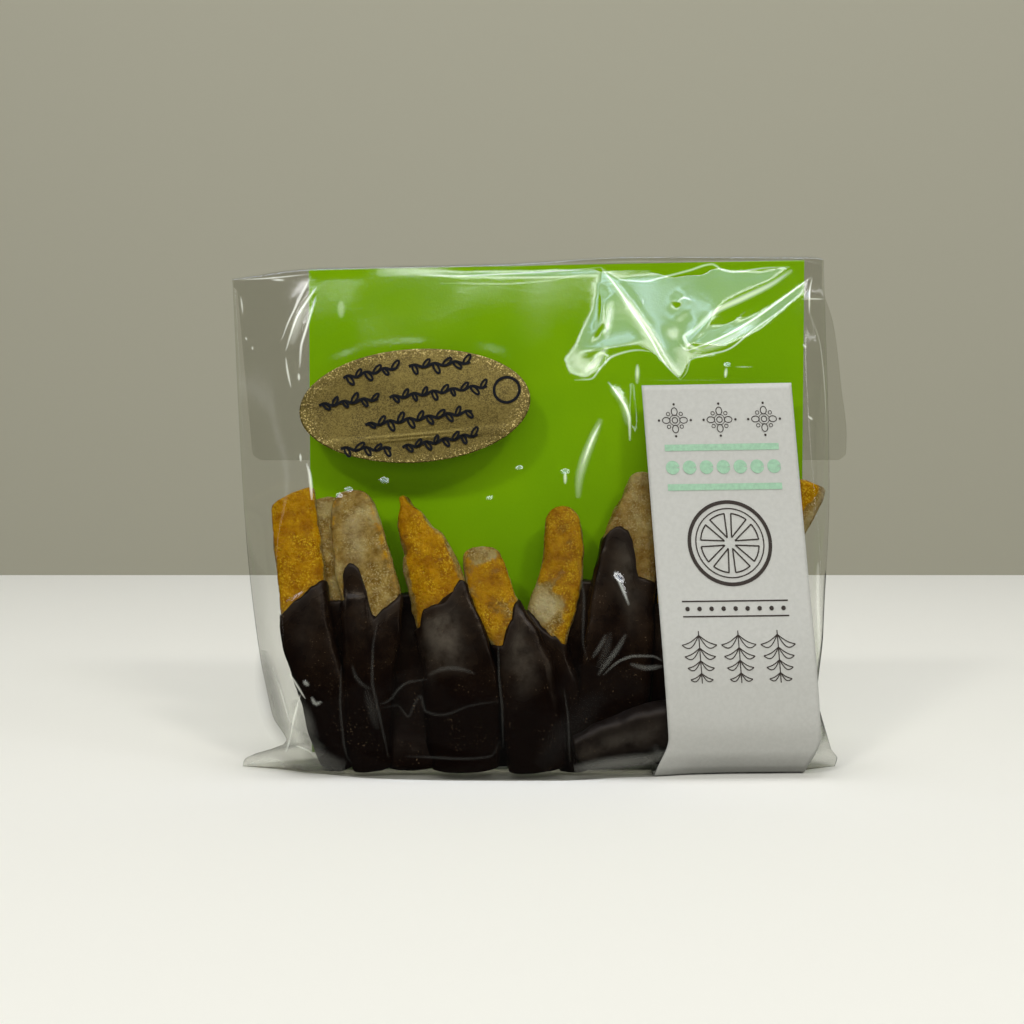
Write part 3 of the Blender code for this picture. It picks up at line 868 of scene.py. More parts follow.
# Small dents that glint: x, z, height and radius.
DENTS = [
    (-5.2, 66, 0.3, 0.7), (4.8, 64.9, 0.4, 0.9), (-11.7, 59.5, 0.3, 0.6), (-34.7, 63, 0.4, 1),
    (-42.5, 61, 0.4, 0.9), (-44.5, 59.8, 0.4, 0.8), (40.6, 88.4, 0.3, 0.8), (-51.1, 20.6, 0.4, 0.8),
    (-49.2, 16.9, 0.4, 0.8), (-47.9, 16.6, 0.3, 0.6),
]
# Painted highlights: white lines that stand in for the glints along the film's creases and folds, and
# painted light over the foot's ear: strength, width and points (x, z).
PAINTED_GLINTS = [
    # slack
    (0.63, 0.4, [(-27.3, 109.1), (-19.5, 108.9), (-9.5, 109.3), (0.5, 109.8), (8.3, 110.4),
     (13, 110.9)]),
    (0.34, 0.4, [(-22.8, 107.3), (-9.5, 107.1), (0.5, 107.7), (7.2, 108.9), (12.4, 110.2)]),
    (0.98, 0.5, [(13, 110.9), (16.5, 106.4), (19.8, 101.2), (23.5, 95.4), (26.7, 89.5), (30.2, 85.7)]),
    (0.45, 1.9, [(13.5, 110.2), (17, 105.7), (20.7, 100.8), (24.4, 95.4), (27.6, 90.1), (30, 87)]),
    (0.69, 0.5, [(13, 110.9), (15.5, 109.3), (18.1, 108), (22.8, 107.7), (26.6, 108.6),
     (32.8, 110.2), (37.8, 111.6), (40.4, 110.2), (42.6, 109.8), (49.8, 110.7), (55.1, 110.9)]),
    (0.75, 1.3, [(55.6, 110.2), (51, 107.1), (44.5, 103.9), (38.4, 101), (34.4, 97.5), (31.2, 95)]),
    (0.98, 0.5, [(59.9, 108.7), (52.9, 103.5), (46.4, 99), (40.6, 95.7), (34.7, 93.2), (31.6, 92.3),
     (30.3, 93.7)]),
    (0.69, 0.4, [(59.8, 107.1), (52.9, 101.3), (46.3, 96.6), (40.5, 92.3), (36, 91.2), (32.5, 90.1),
     (31.6, 87.5), (30.2, 85.7)]),
    (0.45, 1.7, [(48.2, 99.5), (42.5, 95.5), (37.4, 93.2), (32.5, 91.9)]),
    (0.69, 0.9, [(33, 96.8), (31.2, 95.2), (32.1, 93.5), (34.7, 92.3)]),
    (0.63, 0.5, [(6.9, 85.7), (10.4, 85.9), (13, 88.8), (15.5, 91), (21.2, 92.3), (24.1, 91.9)]),
    (0.6, 1.9, [(9.1, 87.5), (11.7, 89.7), (14, 93.2)]),
    (0.69, 0.6, [(10.9, 90.1), (12.8, 91.7), (14.6, 90.8)]),
    (0.45, 1.7, [(15.4, 103.5), (14.5, 98.6), (14, 94.6)]),
    (0.69, 0.5, [(29.8, 103), (31.6, 104.1), (33.2, 103.3)]),
    (0.57, 0.3, [(22.3, 103.9), (22.3, 102.4)]),
    (0.4, 0.3, [(-9.5, 110.9), (3.9, 111.6), (21.7, 112.2), (39.6, 112.2), (57.4, 112.3),
     (62.5, 111.7)]),
    # streaks
    (1, 0.7, [(14.3, 85.3), (16.5, 82.4), (18.2, 79.6), (18.9, 76.9), (19, 72.4)]),
    (0.31, 1.7, [(15, 84), (17.8, 80.4), (18.6, 75.8)]),
    (0.81, 0.6, [(12.5, 76.1), (10.7, 72.6), (9.4, 69.3), (8.7, 67.4)]),
    (0.44, 1.7, [(12.7, 77.2), (10.7, 72.6), (8.7, 67.4), (7.8, 63.5), (7.6, 60)]),
    (0.75, 0.9, [(20.8, 89.2), (20.7, 84.8)]), (1, 0.7, [(4.8, 65.6), (4.8, 63)]),
    (1, 0.7, [(40.4, 88.4), (40.1, 86.2)]), (0.75, 0.5, [(39.5, 84.8), (39.7, 83.7)]),
    (0.38, 0.3, [(42.4, 88.6), (46.2, 88.6)]), (0.31, 1.5, [(-44.8, 103.5), (-44.7, 99.5)]),
    # left fan
    (0.9, 0.5, [(-51.6, 108.9), (-53.3, 105.3), (-55, 101.7), (-56.6, 98.2), (-57.9, 94.6)]),
    (1, 0.6, [(-50.2, 106.7), (-52.8, 102.6), (-54.6, 99.5), (-55.6, 96.6), (-56.9, 92.2)]),
    (1, 0.6, [(-50.4, 104.4), (-52.5, 96.8), (-53.5, 92.8), (-53.7, 88.4)]),
    (0.38, 1.9, [(-51.5, 105.3), (-53.9, 99.9), (-55.6, 93.5)]),
    (0.9, 0.5, [(-56.9, 90.8), (-56.4, 87.5), (-55.6, 84)]), (0.9, 0.6, [(-53.9, 87.3), (-53.8, 85.5)]),
    (0.75, 0.4, [(-67.4, 104.5), (-67.1, 102.5), (-66.9, 100.5)]),
    (0.75, 0.4, [(-66.2, 95.4), (-65.9, 94.5)]), (0.75, 0.4, [(-64.7, 93.3), (-64.5, 92.4)]),
    (0.75, 0.3, [(-68.3, 108.1), (-60.4, 108.5), (-51.6, 109.4)]),
    (0.75, 0.5, [(-60.4, 108.1), (-57.4, 108)]),
    (1, 0.7, [(-51.9, 67.5), (-51.2, 65.6), (-50.8, 63), (-50.5, 59.5)]),
    (0.9, 0.5, [(-53.3, 69.7), (-53.1, 67.8)]),
    # right side
    (0.91, 0.4, [(60.1, 108.5), (59.3, 104.4), (59.2, 100.6)]),
    (0.46, 0.3, [(59.2, 100.6), (61.8, 93.3), (62.9, 81.3), (63.1, 73.1)]),
    (0.71, 0.4, [(57.4, 103.7), (62.9, 103.8)]), (0.78, 0.6, [(58.3, 77.8), (59.5, 76.9)]),
    (0.78, 0.5, [(57.6, 93.7), (58.3, 92.8)]), (0.39, 0.9, [(59.7, 46), (59.4, 36), (59.4, 24.9)]),
    # gusset
    (0.9, 0.5, [(-59.4, 23.3), (-56.9, 17.4), (-54.9, 10.8)]),
    (0.9, 0.5, [(-54.8, 22.7), (-53, 20), (-51.2, 17.2)]),
    (1, 0.7, [(-52.3, 18.1), (-54, 12.5), (-56.4, 4.2)]),
    (0.72, 0.4, [(-48.9, 4.1), (-51.5, 5.2), (-54.6, 5.7)]),
    (0.6, 2.6, [(-66.5, -0.2), (-63.3, 0.7), (-59.6, 1.6), (-55.6, 1.9)]),
    (0.45, 0.9, [(-51.7, 21.1), (-50.4, 20)]),
    (0.45, 0.9, [(-49.9, 17.7), (-48.9, 16.2), (-47.6, 16.6)]),
    # chocolate
    (0.04, 0.6, [(-35.7, 34), (-36.7, 27.7), (-36.8, 21.4), (-35.9, 16.8), (-34.6, 10.8),
     (-33.4, 4.6)]),
    (0.04, 0.8, [(-41.2, 24.5), (-40.3, 22), (-38.5, 20.1), (-36.8, 19.3)]),
    (0.03, 1.9, [(-38.1, 19.3), (-36.8, 15), (-35.7, 10.7)]),
    (0.04, 0.5, [(-43.5, 24.5), (-43.7, 17.1), (-43.3, 10.6), (-42.5, 5.1), (-41.3, 3.1)]),
    (0.05, 0.9, [(-24.8, 22.3), (-22.2, 23.6), (-19.7, 24), (-16.9, 23.6), (-14.7, 22.8)]),
    (0.04, 0.6, [(-35.1, 16.1), (-32.9, 17.2), (-31.2, 19.3), (-29.1, 20.8), (-24.8, 21.5)]),
    (0.03, 0.6, [(-34.9, 15.3), (-31.4, 15.9), (-30.3, 14.7), (-29.1, 13.4), (-27.8, 16),
     (-26.5, 17.9), (-25.4, 14.7), (-22.2, 13.9), (-15.8, 16), (-9.6, 17.1)]),
    (0.03, 0.6, [(-29.7, 4.9), (-24.4, 4.8), (-17.9, 4.6), (-11.5, 5.1), (-9.4, 8.3)]),
    (0.04, 0.5, [(-9.8, 29.9), (-9.6, 23), (-8.9, 15.2), (-8.7, 7.2)]),
    (0.04, 0.4, [(4.3, 19.9), (5.2, 13.1), (5.6, 4)]),
    (0.01, 5.3, [(-0.8, 2.7), (3.5, 8.8), (7.7, 13.1), (12.7, 18.6)]),
    (0.5, 0.7, [(15.5, 44.4), (16.1, 42.7), (17, 40.8), (18.4, 37.2)]),
    (0.11, 1.1, [(17.7, 31.1), (15.7, 27.8), (13.3, 24.8), (11.6, 22.4)]),
    (0.08, 0.9, [(13.4, 31.1), (12.1, 28.6), (10.4, 26.1)]),
    (0.15, 0.6, [(12.7, 22.4), (16.4, 25.5), (19.8, 26.5), (23.2, 26.5), (25.4, 25.6)]),
    (0.12, 1, [(18.5, 24.8), (21.9, 24), (25.4, 24.4)]),
    (0.03, 0.6, [(7.5, 46.7), (8.7, 38.3), (8.4, 29.9), (9.5, 25.3)]),
    (0.03, 1.6, [(14.3, 31.5), (13.4, 27.8), (11.6, 24)]),
    (0.01, 2.2, [(11.2, 7.9), (17.4, 8.9), (23.8, 10.4)]),
    (0.06, 0.7, [(20.7, 5.1), (22.9, 3.9), (24.9, 1.6)]), (0.04, 1.6, [(23.6, 7.7), (25, 4.8)]),
]
# Broad grey veils where the film is puckered over the foot and the left side, partly painted shade: they
# dim what lies behind them.
VEILS = [
    (0.6, 3.9, [(-53.2, 17), (-51.5, 12.3), (-50.9, 7.2), (-48.7, 4.2), (-42.8, 2.3)]),
    (0.7, 5.2, [(-61.5, 26.3), (-60.3, 18.4), (-58.1, 11.1), (-55.4, 5)]),
    (0.9, 2.6, [(-56.8, 0.7), (-52.9, 1.4), (-48.9, 1.6), (-42.9, 1.3)]),
    (0.9, 2.8, [(6.5, 2.4), (11.6, 3), (16.4, 3.5), (21.8, 4.1), (26.7, 5.7)]),
]
FILM_COLUMNS = 333
FILM_ROWS = 277
FOOT_ROWS = 36
FOOT_TOP = 0.010
BACK_STEP = 4
CONTENTS_STEP = 2
FILM_CLEARANCE = 0.00015
FILM_REACH = 0.0020
REACH_MARGIN = 3
REACH_BLUR = 16
RELIEF_FOOT = 0.0120
RELIEF_TOP = 0.0025
SLACK_TILT = 0.125
SLACK_EDGE = 0.0005
SLACK_FROM = 0.055
SLACK_TO = 0.085
HOLLOW_DEPTH = 0.0016
HOLLOW_MARGIN = 3
HOLLOW_BLUR = 90
HOLLOW_FROM = 0.014
HOLLOW_TO = 0.034
HOLLOW_END_X = 0.0200
HOLLOW_END_FADE = 0.0040
SIDE_SHARE = 0.4
PAINTED_GLINT_BEHIND = 0.00003
PAINTED_GLINT_LOWEST = 0.0003
PAINTED_GLINT_COLUMNS = 9
PAINTED_GLINT_STEP = 0.0005


def distance_to_line(x, z, points):
    """How far grid points lie from a broken line, and how far along it, from 0 to 1."""
    nearest = np.full(x.shape, 1e9)
    along = np.zeros(x.shape)
    lengths = [math.dist(a, b) for a, b in zip(points, points[1:])]
    run = 0.0
    for (x0, z0), (x1, z1), length in zip(points, points[1:], lengths):
        t = np.clip(((x - x0) * (x1 - x0) + (z - z0) * (z1 - z0)) / length**2, 0, 1)
        far = np.hypot(x - x0 - t * (x1 - x0), z - z0 - t * (z1 - z0))
        along = np.where(far < nearest, (run + t * length) / sum(lengths), along)
        nearest = np.minimum(far, nearest)
        run += length
    return nearest, along


def fold_relief(x, z):
    """How far the folds, dents and fine ripples raise the front film."""
    raised = np.zeros(x.shape)
    for height, width, points in FOLDS:
        far, along = distance_to_line(x / MM, z / MM, points)
        crest = np.exp(-(np.hypot(far, 0.18 * width) - 0.18 * width) / width)
        ends = smooth_step(0.0, 0.35, along) * smooth_step(0.0, 0.35, 1 - along)
        raised += height * MM * crest * ends
    for dent_x, dent_z, height, radius in DENTS:
        far = np.hypot(x / MM - dent_x, z / MM - dent_z)
        raised += height * MM * np.exp(-((far / radius) ** 2))
    lower = 1 - smooth_step(0.045, 0.065, z)
    flat = flat_points(x, z * 0.6)
    raised += (0.00012 + 0.00014 * lower) * layered_noise(flat, 0.011, 7, 2)
    return raised + 0.00006 * lower * layered_noise(flat, 0.0035, 17, 2)


def inside_outline(x, z, outline):
    inside = np.zeros(x.shape, bool)
    for (x0, z0), (x1, z1) in zip(outline, outline[1:] + outline[:1]):
        where = x0 + (z - z0) * (x1 - x0) / (z1 - z0 + 1e-12)
        inside ^= ((z0 > z) != (z1 > z)) & (x < where)
    return inside


def slack_relief(x, z):
    """The front film's slack, which leans back inside its outlines and is let out below them."""
    leaning = np.zeros(x.shape)
    for outline in SLACK_OUTLINES:
        far = distance_to_line(x / MM, z / MM, outline + outline[:1])[0]
        within = np.where(inside_outline(x / MM, z / MM, outline), far, -far) * MM
        leaning = np.maximum(leaning, smooth_step(-SLACK_EDGE, SLACK_EDGE, within))
    leaning = leaning * (1 + 0.20 * layered_noise(flat_points(x, z), 0.009, 57, 2))
    above = np.cumsum((leaning * np.gradient(z, axis=0))[::-1], axis=0)[::-1]
    whole = blurred(np.repeat(above[:1], x.shape[0], axis=0), 8)
    return SLACK_TILT * (above - 0.55 * whole) * smooth_step(SLACK_FROM, SLACK_TO, z)


def film_grid():
    """Places over the bag, as x, height up the side, and height. Rows are close at the folded foot."""
    foot = np.linspace(0.0, FOOT_TOP, FOOT_ROWS, endpoint=False)
    levels = np.concatenate([foot, np.linspace(FOOT_TOP, HEIGHT, FILM_ROWS - FOOT_ROWS)])[:, None]
    u = np.linspace(0, 1, FILM_COLUMNS)[None, :]
    even = u - 0.04 * np.sin(2 * math.pi * u)
    x = left_edge(levels) + (right_edge(levels) - left_edge(levels)) * even
    level = levels + 0 * x
    return x, level, level * top_edge(x) / HEIGHT


def outside_sheets(x, level):
    """0 where the label or the sticker lies on the film, 1 elsewhere."""
    from_side = (np.abs(x - label_middle_x(level)) - LABEL_WIDTH / 2) * SIDE_SHARE
    from_label = np.maximum(from_side, level - LABEL_TOP)
    along, up = turned(x - STICKER_X, level - STICKER_Z, -STICKER_TILT)
    reach = np.hypot(along / (STICKER_LENGTH / 2), up / (STICKER_HEIGHT / 2))
    from_sticker = (reach - 1) * STICKER_HEIGHT / 2
    return smooth_step(0.0003, 0.0014, np.minimum(from_label, from_sticker * SIDE_SHARE))


def hollow_between(x, z, room):
    """How far the film sinks between the strips, where there is room behind it."""
    reach = smooth_step(0.0, 0.010, z) * (1 - smooth_step(HOLLOW_FROM, HOLLOW_TO, z))
    reach *= 1 - smooth_step(HOLLOW_END_X, HOLLOW_END_X + HOLLOW_END_FADE, x)
    room = least_nearby(np.clip(room, 0, HOLLOW_DEPTH), HOLLOW_MARGIN)
    return blurred(room, HOLLOW_BLUR) * reach


def first_hit(tree, x, z):
    """Where a line from in front of the bag first meets a surface, or None."""
    return tree.ray_cast(Vector((x, -0.05, z)), Vector((0, 1, 0)), 0.1)[0]


def contents_front(x, z, contents):
    """The foremost y of the strips behind each point of the film, or a far one where there is none."""
    vertices, faces = [], []
    for thing in contents:
        start = len(vertices)
        vertices += [v.co for v in thing.data.vertices]
        faces += [[start + i for i in face.vertices] for face in thing.data.polygons]
    tree = BVHTree.FromPolygons(vertices, faces)
    hits = [first_hit(tree, *place) for place in zip(x.ravel(), z.ravel())]
    return np.array([hit.y if hit else 1.0 for hit in hits]).reshape(x.shape)


def make_film(contents):
    """The front and back sheets and the flat bottom, as one skin. The back has a coarser grid."""
    x, level, z = film_grid()
    front = front_y(x, level)
    full = np.clip(fullness(x, level) * 1.5, 0, 1)
    step = CONTENTS_STEP
    behind = contents_front(x[::step, ::step], z[::step, ::step], contents)
    behind = np.repeat(np.repeat(behind, step, axis=0), step, axis=1)[: x.shape[0], : x.shape[1]]
    room = behind - FILM_CLEARANCE - front
    limit = front + blurred(least_nearby(np.minimum(room, FILM_REACH), REACH_MARGIN), REACH_BLUR)
    relief = (fold_relief(x, z) + slack_relief(x, z)) * full
    relief *= smooth_step(0.0, RELIEF_TOP, HEIGHT - level) * smooth_step(0.0, RELIEF_FOOT, level)
    sunk = hollow_between(x, z, room) * full
    front = np.minimum(front + (sunk - relief) * outside_sheets(x, level), limit)
    front = np.minimum(front, CARD_FRONT_Y - FILM_CLEARANCE)
    back = np.stack([x, back_y(x, level), z], axis=-1)[::BACK_STEP, ::BACK_STEP]
    front = np.stack([x, front, z], axis=-1)
    return make_skin("film_bag", front, back, FILM, "bag", BACK_STEP)


def make_painted_glints(film):
    """Painted highlights: narrow white ribbons laid on the film's front along its creases, clear again
    along their sides and at their ends, with the grey veils.
    """
    tree = BVHTree.FromObject(film, bpy.context.evaluated_depsgraph_get())
    vertices, faces, strengths, greys = [], [], [], []
    for i, (strength, width, corners) in enumerate(PAINTED_GLINTS + VEILS):
        corners = np.array(corners) * MM
        run = run_along(corners)
        count = max(5, int(run[-1] / PAINTED_GLINT_STEP))
        even = np.linspace(0, run[-1], count)
        line = np.stack([curve_through(np.stack([run, c], axis=1))(even) for c in corners.T], axis=1)
        side = unit(np.gradient(line, axis=0)[:, ::-1] * (-1, 1))
        ends = np.sin(math.pi * np.linspace(0.04, 0.96, count)) ** 0.6
        reach = width * MM * 0.75 * (0.35 + 0.65 * ends)
        faces += grid_faces(PAINTED_GLINT_COLUMNS, count, start=len(vertices))
        for across in np.linspace(-1, 1, PAINTED_GLINT_COLUMNS):
            for (x, z), fade in zip(line + side * (reach * across)[:, None], ends):
                z = max(z, PAINTED_GLINT_LOWEST)
                hit = first_hit(tree, x, z)
                vertices.append((x, (hit.y if hit else fold_y(z)) + PAINTED_GLINT_BEHIND, z))
                strengths.append(strength * fade * math.cos(math.pi / 2 * across) ** 1.5)
                greys.append(float(i >= len(PAINTED_GLINTS)))
    painted_glint_ribbons = new_object("film_painted_glints_and_veils", vertices, faces, PAINTED_GLINT, "bag")
    add_attribute(painted_glint_ribbons, "strength", strengths)
    add_attribute(painted_glint_ribbons, "grey", greys)


# The flap: the open end of the bag, folded down behind

FLAP_FOOT = 0.0677
FLAP_TOP = 0.1065
FLAP_CORNER = 0.0018
FLAP_GAP = 0.0005
FLAP_WAVE = 0.00019
FLAP_CLEARANCE = 0.0002
FLAP_SEAM = 0.0001
FLAP_LEFT = [(FLAP_FOOT, -0.0655), (FLAP_TOP, -0.0685)]
FLAP_RIGHT = [(FLAP_FOOT, 0.0690), (0.0730, 0.0690), (0.0842, 0.0676), (0.0980, 0.0656), (0.1080, 0.0622)]


def make_flap():
    """Two layers of film, joined at the sides, hanging down behind the back sheet."""
    rows, columns = 70, 120
    down = np.linspace(0, 1, rows)[:, None]
    u = np.linspace(0, 1, columns)[None, :]
    x0, x1 = left_edge(HEIGHT), right_edge(HEIGHT)
    top = top_edge(x0 + (x1 - x0) * u)
    z = top + (FLAP_FOOT - top) * down
    corner = FLAP_CORNER * np.clip(1 - (z - FLAP_FOOT) / FLAP_CORNER, 0, 1) ** 2
    x0 = np.where(z > FLAP_TOP, x0, curve_through(FLAP_LEFT)(z)) + corner
    x1 = np.where(z > FLAP_TOP, x1, curve_through(FLAP_RIGHT)(z)) - corner
    x = x0 + (x1 - x0) * u
    wave = FLAP_WAVE * layered_noise(flat_points(x, z), 0.024, 31) * smooth_step(0.0, 0.3, down)
    stand = FLAP_GAP + (FLAP_STANDOFF - 2 * FLAP_GAP) * down + wave
    inner = BACK_Y + np.clip(stand, FLAP_CLEARANCE, None)
    outer = inner + FLAP_SEAM + FLAP_GAP * smooth_step(0, 0.05, u) * smooth_step(0, 0.05, 1 - u)
    points = [np.stack([x, y, z], axis=-1) for y in (inner, outer)]
    faces = grid_faces(rows, columns)
    faces += [face[::-1] for face in grid_faces(rows, columns, start=rows * columns)]
    new_object("film_flap", points, faces, FILM, "bag")


# The label and the sticker, laid over the finished film

SHEET_THICKNESS = 0.00018
SHEET_GAP = 0.00012
SLOPE_STEP = 0.0004
LABEL_WIDTH = 0.0330
LABEL_TOP = label_high.z
LABEL_TOP_X = 0.0382
LABEL_TOP_SLANT = 0.0003
LABEL_FOOT = 0.0090
LABEL_FOOT_X = 0.0432
LABEL_UNDER_X = 0.0405
LABEL_UNDER_LENGTH = 0.0150
LABEL_UNDER_LIFT = 0.00005
LABEL_ROUND_END = 0.0008
LABEL_ROWS = 110
LABEL_COLUMNS = 40
LABEL_UNDER_ROWS = 24
STICKER_X = (sticker_low.x + sticker_high.x) / 2
STICKER_Z = (sticker_low.z + sticker_high.z) / 2 * HEIGHT / float(top_edge(STICKER_X))
STICKER_LENGTH = 0.0508
STICKER_HEIGHT = 0.0254
STICKER_TILT = math.radians(2.5)
STICKER_WAVE = 0.0001
STICKER_WRINKLES = (-0.0066, -0.0074)
WRINKLE_WIDTH = 0.0003
INK_LIFT = SHEET_GAP + SHEET_THICKNESS + 0.00011
STICKER_INK_LIFT = INK_LIFT + 0.0002


def stiff_y(x, level):
    """The front as a stiff sheet meets it: past the right shoulder the sheet goes straight on."""
    return front_y(np.minimum(x, right_edge(level) - right_slack(level)), level)


def on_front(x, level, lift):
    """Points lifted off the bag's plain front by a distance."""
    step = SLOPE_STEP
    x, level, lift = np.broadcast_arrays(x, level, lift)
    below = np.maximum(level - step, 0.0)
    dy_dx = (stiff_y(x + step, level) - stiff_y(x - step, level)) / (2 * step)
    dy_dz = (stiff_y(x, level + step) - stiff_y(x, below)) / (level + step - below)
    normal = unit(np.stack([dy_dx, np.full_like(dy_dx, -1.0), dy_dz], axis=-1))
    foot = np.stack([x, stiff_y(x, level), level * top_edge(x) / HEIGHT], axis=-1)
    return foot + normal * lift[..., None]


def label_middle_x(level):
    slanted = LABEL_TOP_X + (LABEL_FOOT_X - LABEL_TOP_X) * (LABEL_TOP - level) / (LABEL_TOP - LABEL_FOOT)
    swung = LABEL_UNDER_X + (LABEL_FOOT_X - LABEL_UNDER_X) * smooth_step(0.0, LABEL_FOOT, level)
    return np.where(level > LABEL_FOOT, slanted, swung)


def on_label(across, down, lift=INK_LIFT):
    """A place on the label: metres across from its middle, and metres down from its top edge."""
    level = LABEL_TOP - down
    slant = LABEL_TOP_SLANT * across / (LABEL_WIDTH / 2) * (1 - down / LABEL_TOP)
    return on_front(label_middle_x(level) + across, level + slant, lift)


def make_label():
    down = (LABEL_TOP - LABEL_ROUND_END) * np.sin(np.linspace(0, math.pi / 2, LABEL_ROWS))
    across = np.linspace(-LABEL_WIDTH / 2, LABEL_WIDTH / 2, LABEL_COLUMNS)
    down, across = np.meshgrid(down, across, indexing="ij")
    x = LABEL_UNDER_X + across[:1]
    start = stiff_y(x, np.zeros_like(x))
    end = BACK_Y - depth_at(0.0) + LABEL_UNDER_LENGTH
    y = start + (end - start) * np.linspace(0, 1, LABEL_UNDER_ROWS)[:, None]
    front, back = (
        np.concatenate([on_label(across, down, lift), np.stack([x + 0 * y, y, 0 * y + z], axis=-1)])
        for lift, z in (
            (SHEET_GAP + SHEET_THICKNESS, LABEL_UNDER_LIFT),
            (SHEET_GAP, LABEL_UNDER_LIFT + SHEET_THICKNESS),
        )
    )
    make_skin("label_sheet", front[::-1], back[::-1], PAPER, "paper_label")


def on_sticker(along, up, lift=STICKER_INK_LIFT):
    """A point of the sticker, by its place along and up from its middle, in metres."""
    x, z = turned(along, up, STICKER_TILT)
    return on_front(STICKER_X + x, STICKER_Z + z, lift)


def make_sticker():
    rings, spokes = 60, 128
    share = np.linspace(0, 1, rings)[:, None]
    angle = np.linspace(0, 2 * math.pi, spokes, endpoint=False)[None, :]
    along = share * STICKER_LENGTH / 2 * np.cos(angle)
    up = share * STICKER_HEIGHT / 2 * np.sin(angle)
    wave = layered_noise(flat_points(along, up), 0.012, 77, 2)
    for height in STICKER_WRINKLES:
        wave = wave + 0.8 * np.exp(-(((up - height - 0.03 * along) / WRINKLE_WIDTH) ** 2))
    lift = SHEET_GAP + STICKER_WAVE * (wave + 1)
    points = [on_sticker(along, up, lift + SHEET_THICKNESS), on_sticker(along, up, lift)]
    count = rings * spokes
    faces = [face[::-1] for face in grid_faces(rings, spokes, round_columns=True)]
    faces += grid_faces(rings, spokes, round_columns=True, start=count)
    rim = [count - spokes + i % spokes for i in range(spokes + 1)]
    faces += [[a, b, b + count, a + count] for a, b in zip(rim, rim[1:])]
    sticker = new_object("sticker_sheet", points, faces, GOLD, "gold_sticker")
    add_attribute(sticker, "rim", np.tile(np.broadcast_to(share, along.shape).ravel(), 2))


# Print and pen strokes, as lines (points, width) in metres on the flat sheets


def polar(centre, radius, angle):
    """A place at a radius and an angle in radians from a centre."""
    return centre[0] + radius * np.cos(angle), centre[1] + radius * np.sin(angle)


def arc(centre, radius, start=0.0, end=360.0, steps=40):
    return np.stack(polar(centre, radius, np.radians(np.linspace(start, end, steps))), axis=1)


def straight(start, end, steps=12):
    t = np.linspace(0, 1, steps)[:, None]
    return np.asarray(start) * (1 - t) + np.asarray(end) * t


def dot(centre, radius):
    """A filled round dot, drawn as one short wide ring."""
    return arc(centre, radius / 2, steps=18), radius


def print_lines(name, lines, place, material, node):
    """Joins drawn lines into one piece laid on a sheet by place(a, b)."""
    vertices, faces = [], []
    for points, width in lines:
        ahead = unit(np.gradient(points, axis=0))
        side = np.stack([-ahead[:, 1], ahead[:, 0]], axis=1) * width / 2
        faces += grid_faces(2, len(points), start=len(vertices))
        for edge in (points + side, points - side):
            vertices += place(edge[:, 0], edge[:, 1]).tolist()
    new_object(name, vertices, faces, material, node, smooth=False)


def rosette(centre, size):
    """A traditional four-petalled rosette with a ring and four dots."""
    lines = [(arc(centre, size * 0.16), size * 0.05), (arc(centre, size * 0.30), size * 0.035)]
    turn = np.linspace(0, 2 * math.pi, 40)
    for angle in np.radians((0, 90, 180, 270)):
        petal = turned(size * (0.50 + 0.22 * np.cos(turn)), size * 0.17 * np.sin(turn), angle)
        lines.append((np.stack(petal, axis=1) + centre, size * 0.05))
        leaf = polar(centre, size * 0.52, angle + math.pi / 4)
        lines.append((arc(leaf, size * 0.10, steps=20), size * 0.04))
        lines.append(dot(polar(centre, size * 0.92, angle), size * 0.07))
    return lines


def citrus_slice(centre, size):
    """A round slice with eight segments."""
    lines = [(arc(centre, size, steps=64), size * 0.09), (arc(centre, size * 0.84, steps=64), size * 0.03)]
    for middle in np.arange(8) * 45 + 22.5:
        tip = polar(centre, size * 0.14, math.radians(middle))
        rim = arc(centre, size * 0.72, middle - 16, middle + 16, steps=12)
        outline = np.concatenate([straight(tip, rim[0]), rim, straight(rim[-1], tip)])
        lines.append((outline, size * 0.035))
    return lines


def sprig(root, length, leaves):
    """A stem that rises from its root, with pairs of pointed leaves."""
    width = 0.00022
    lines = [(straight(root, (root[0], root[1] + length), 20), width)]
    t = np.linspace(0, 1, 16)
    for i in range(leaves):
        height = root[1] + length * (0.15 + 0.70 * i / (leaves - 1))
        reach = length * (0.34 - 0.04 * i)
        for side, bend in itertools.product((-1, 1), (0.10, 0.42)):
            z = height + reach * (0.55 * t + bend * np.sin(math.pi * t) - 0.2)
            lines.append((np.stack([root[0] + side * reach * t, z], axis=1), width))
    return lines


def make_label_print():
    """Rosettes, bands of mint, a slice, beads and sprigs, from the top of the label down."""
    brown = [line for across in (-0.0098, 0.0, 0.0098) for line in rosette((across, 0.0078), 0.0038)]
    brown += citrus_slice((0.0, 0.0345), 0.0088)
    brown += [(straight((-0.0115, down), (0.0115, down), 30), 0.0003) for down in (0.0468, 0.0500)]
    brown += [dot((-0.0104 + 0.0026 * i, 0.0484), 0.00050) for i in range(9)]
    for across in (-0.0085, 0.0, 0.0085):
        brown += sprig((across, 0.0530), 0.0110, 4)
    mint = [(straight((-0.0125, down), (0.0125, down), 30), 0.0014) for down in (0.0138, 0.0224)]
    mint += [dot((-0.0111 + 0.0037 * i, 0.0181), 0.0015) for i in range(7)]
    print_lines("label_brown_print", brown, on_label, DARK_INK, "paper_label")
    print_lines("label_mint_print", mint, on_label, MINT_INK, "paper_label")


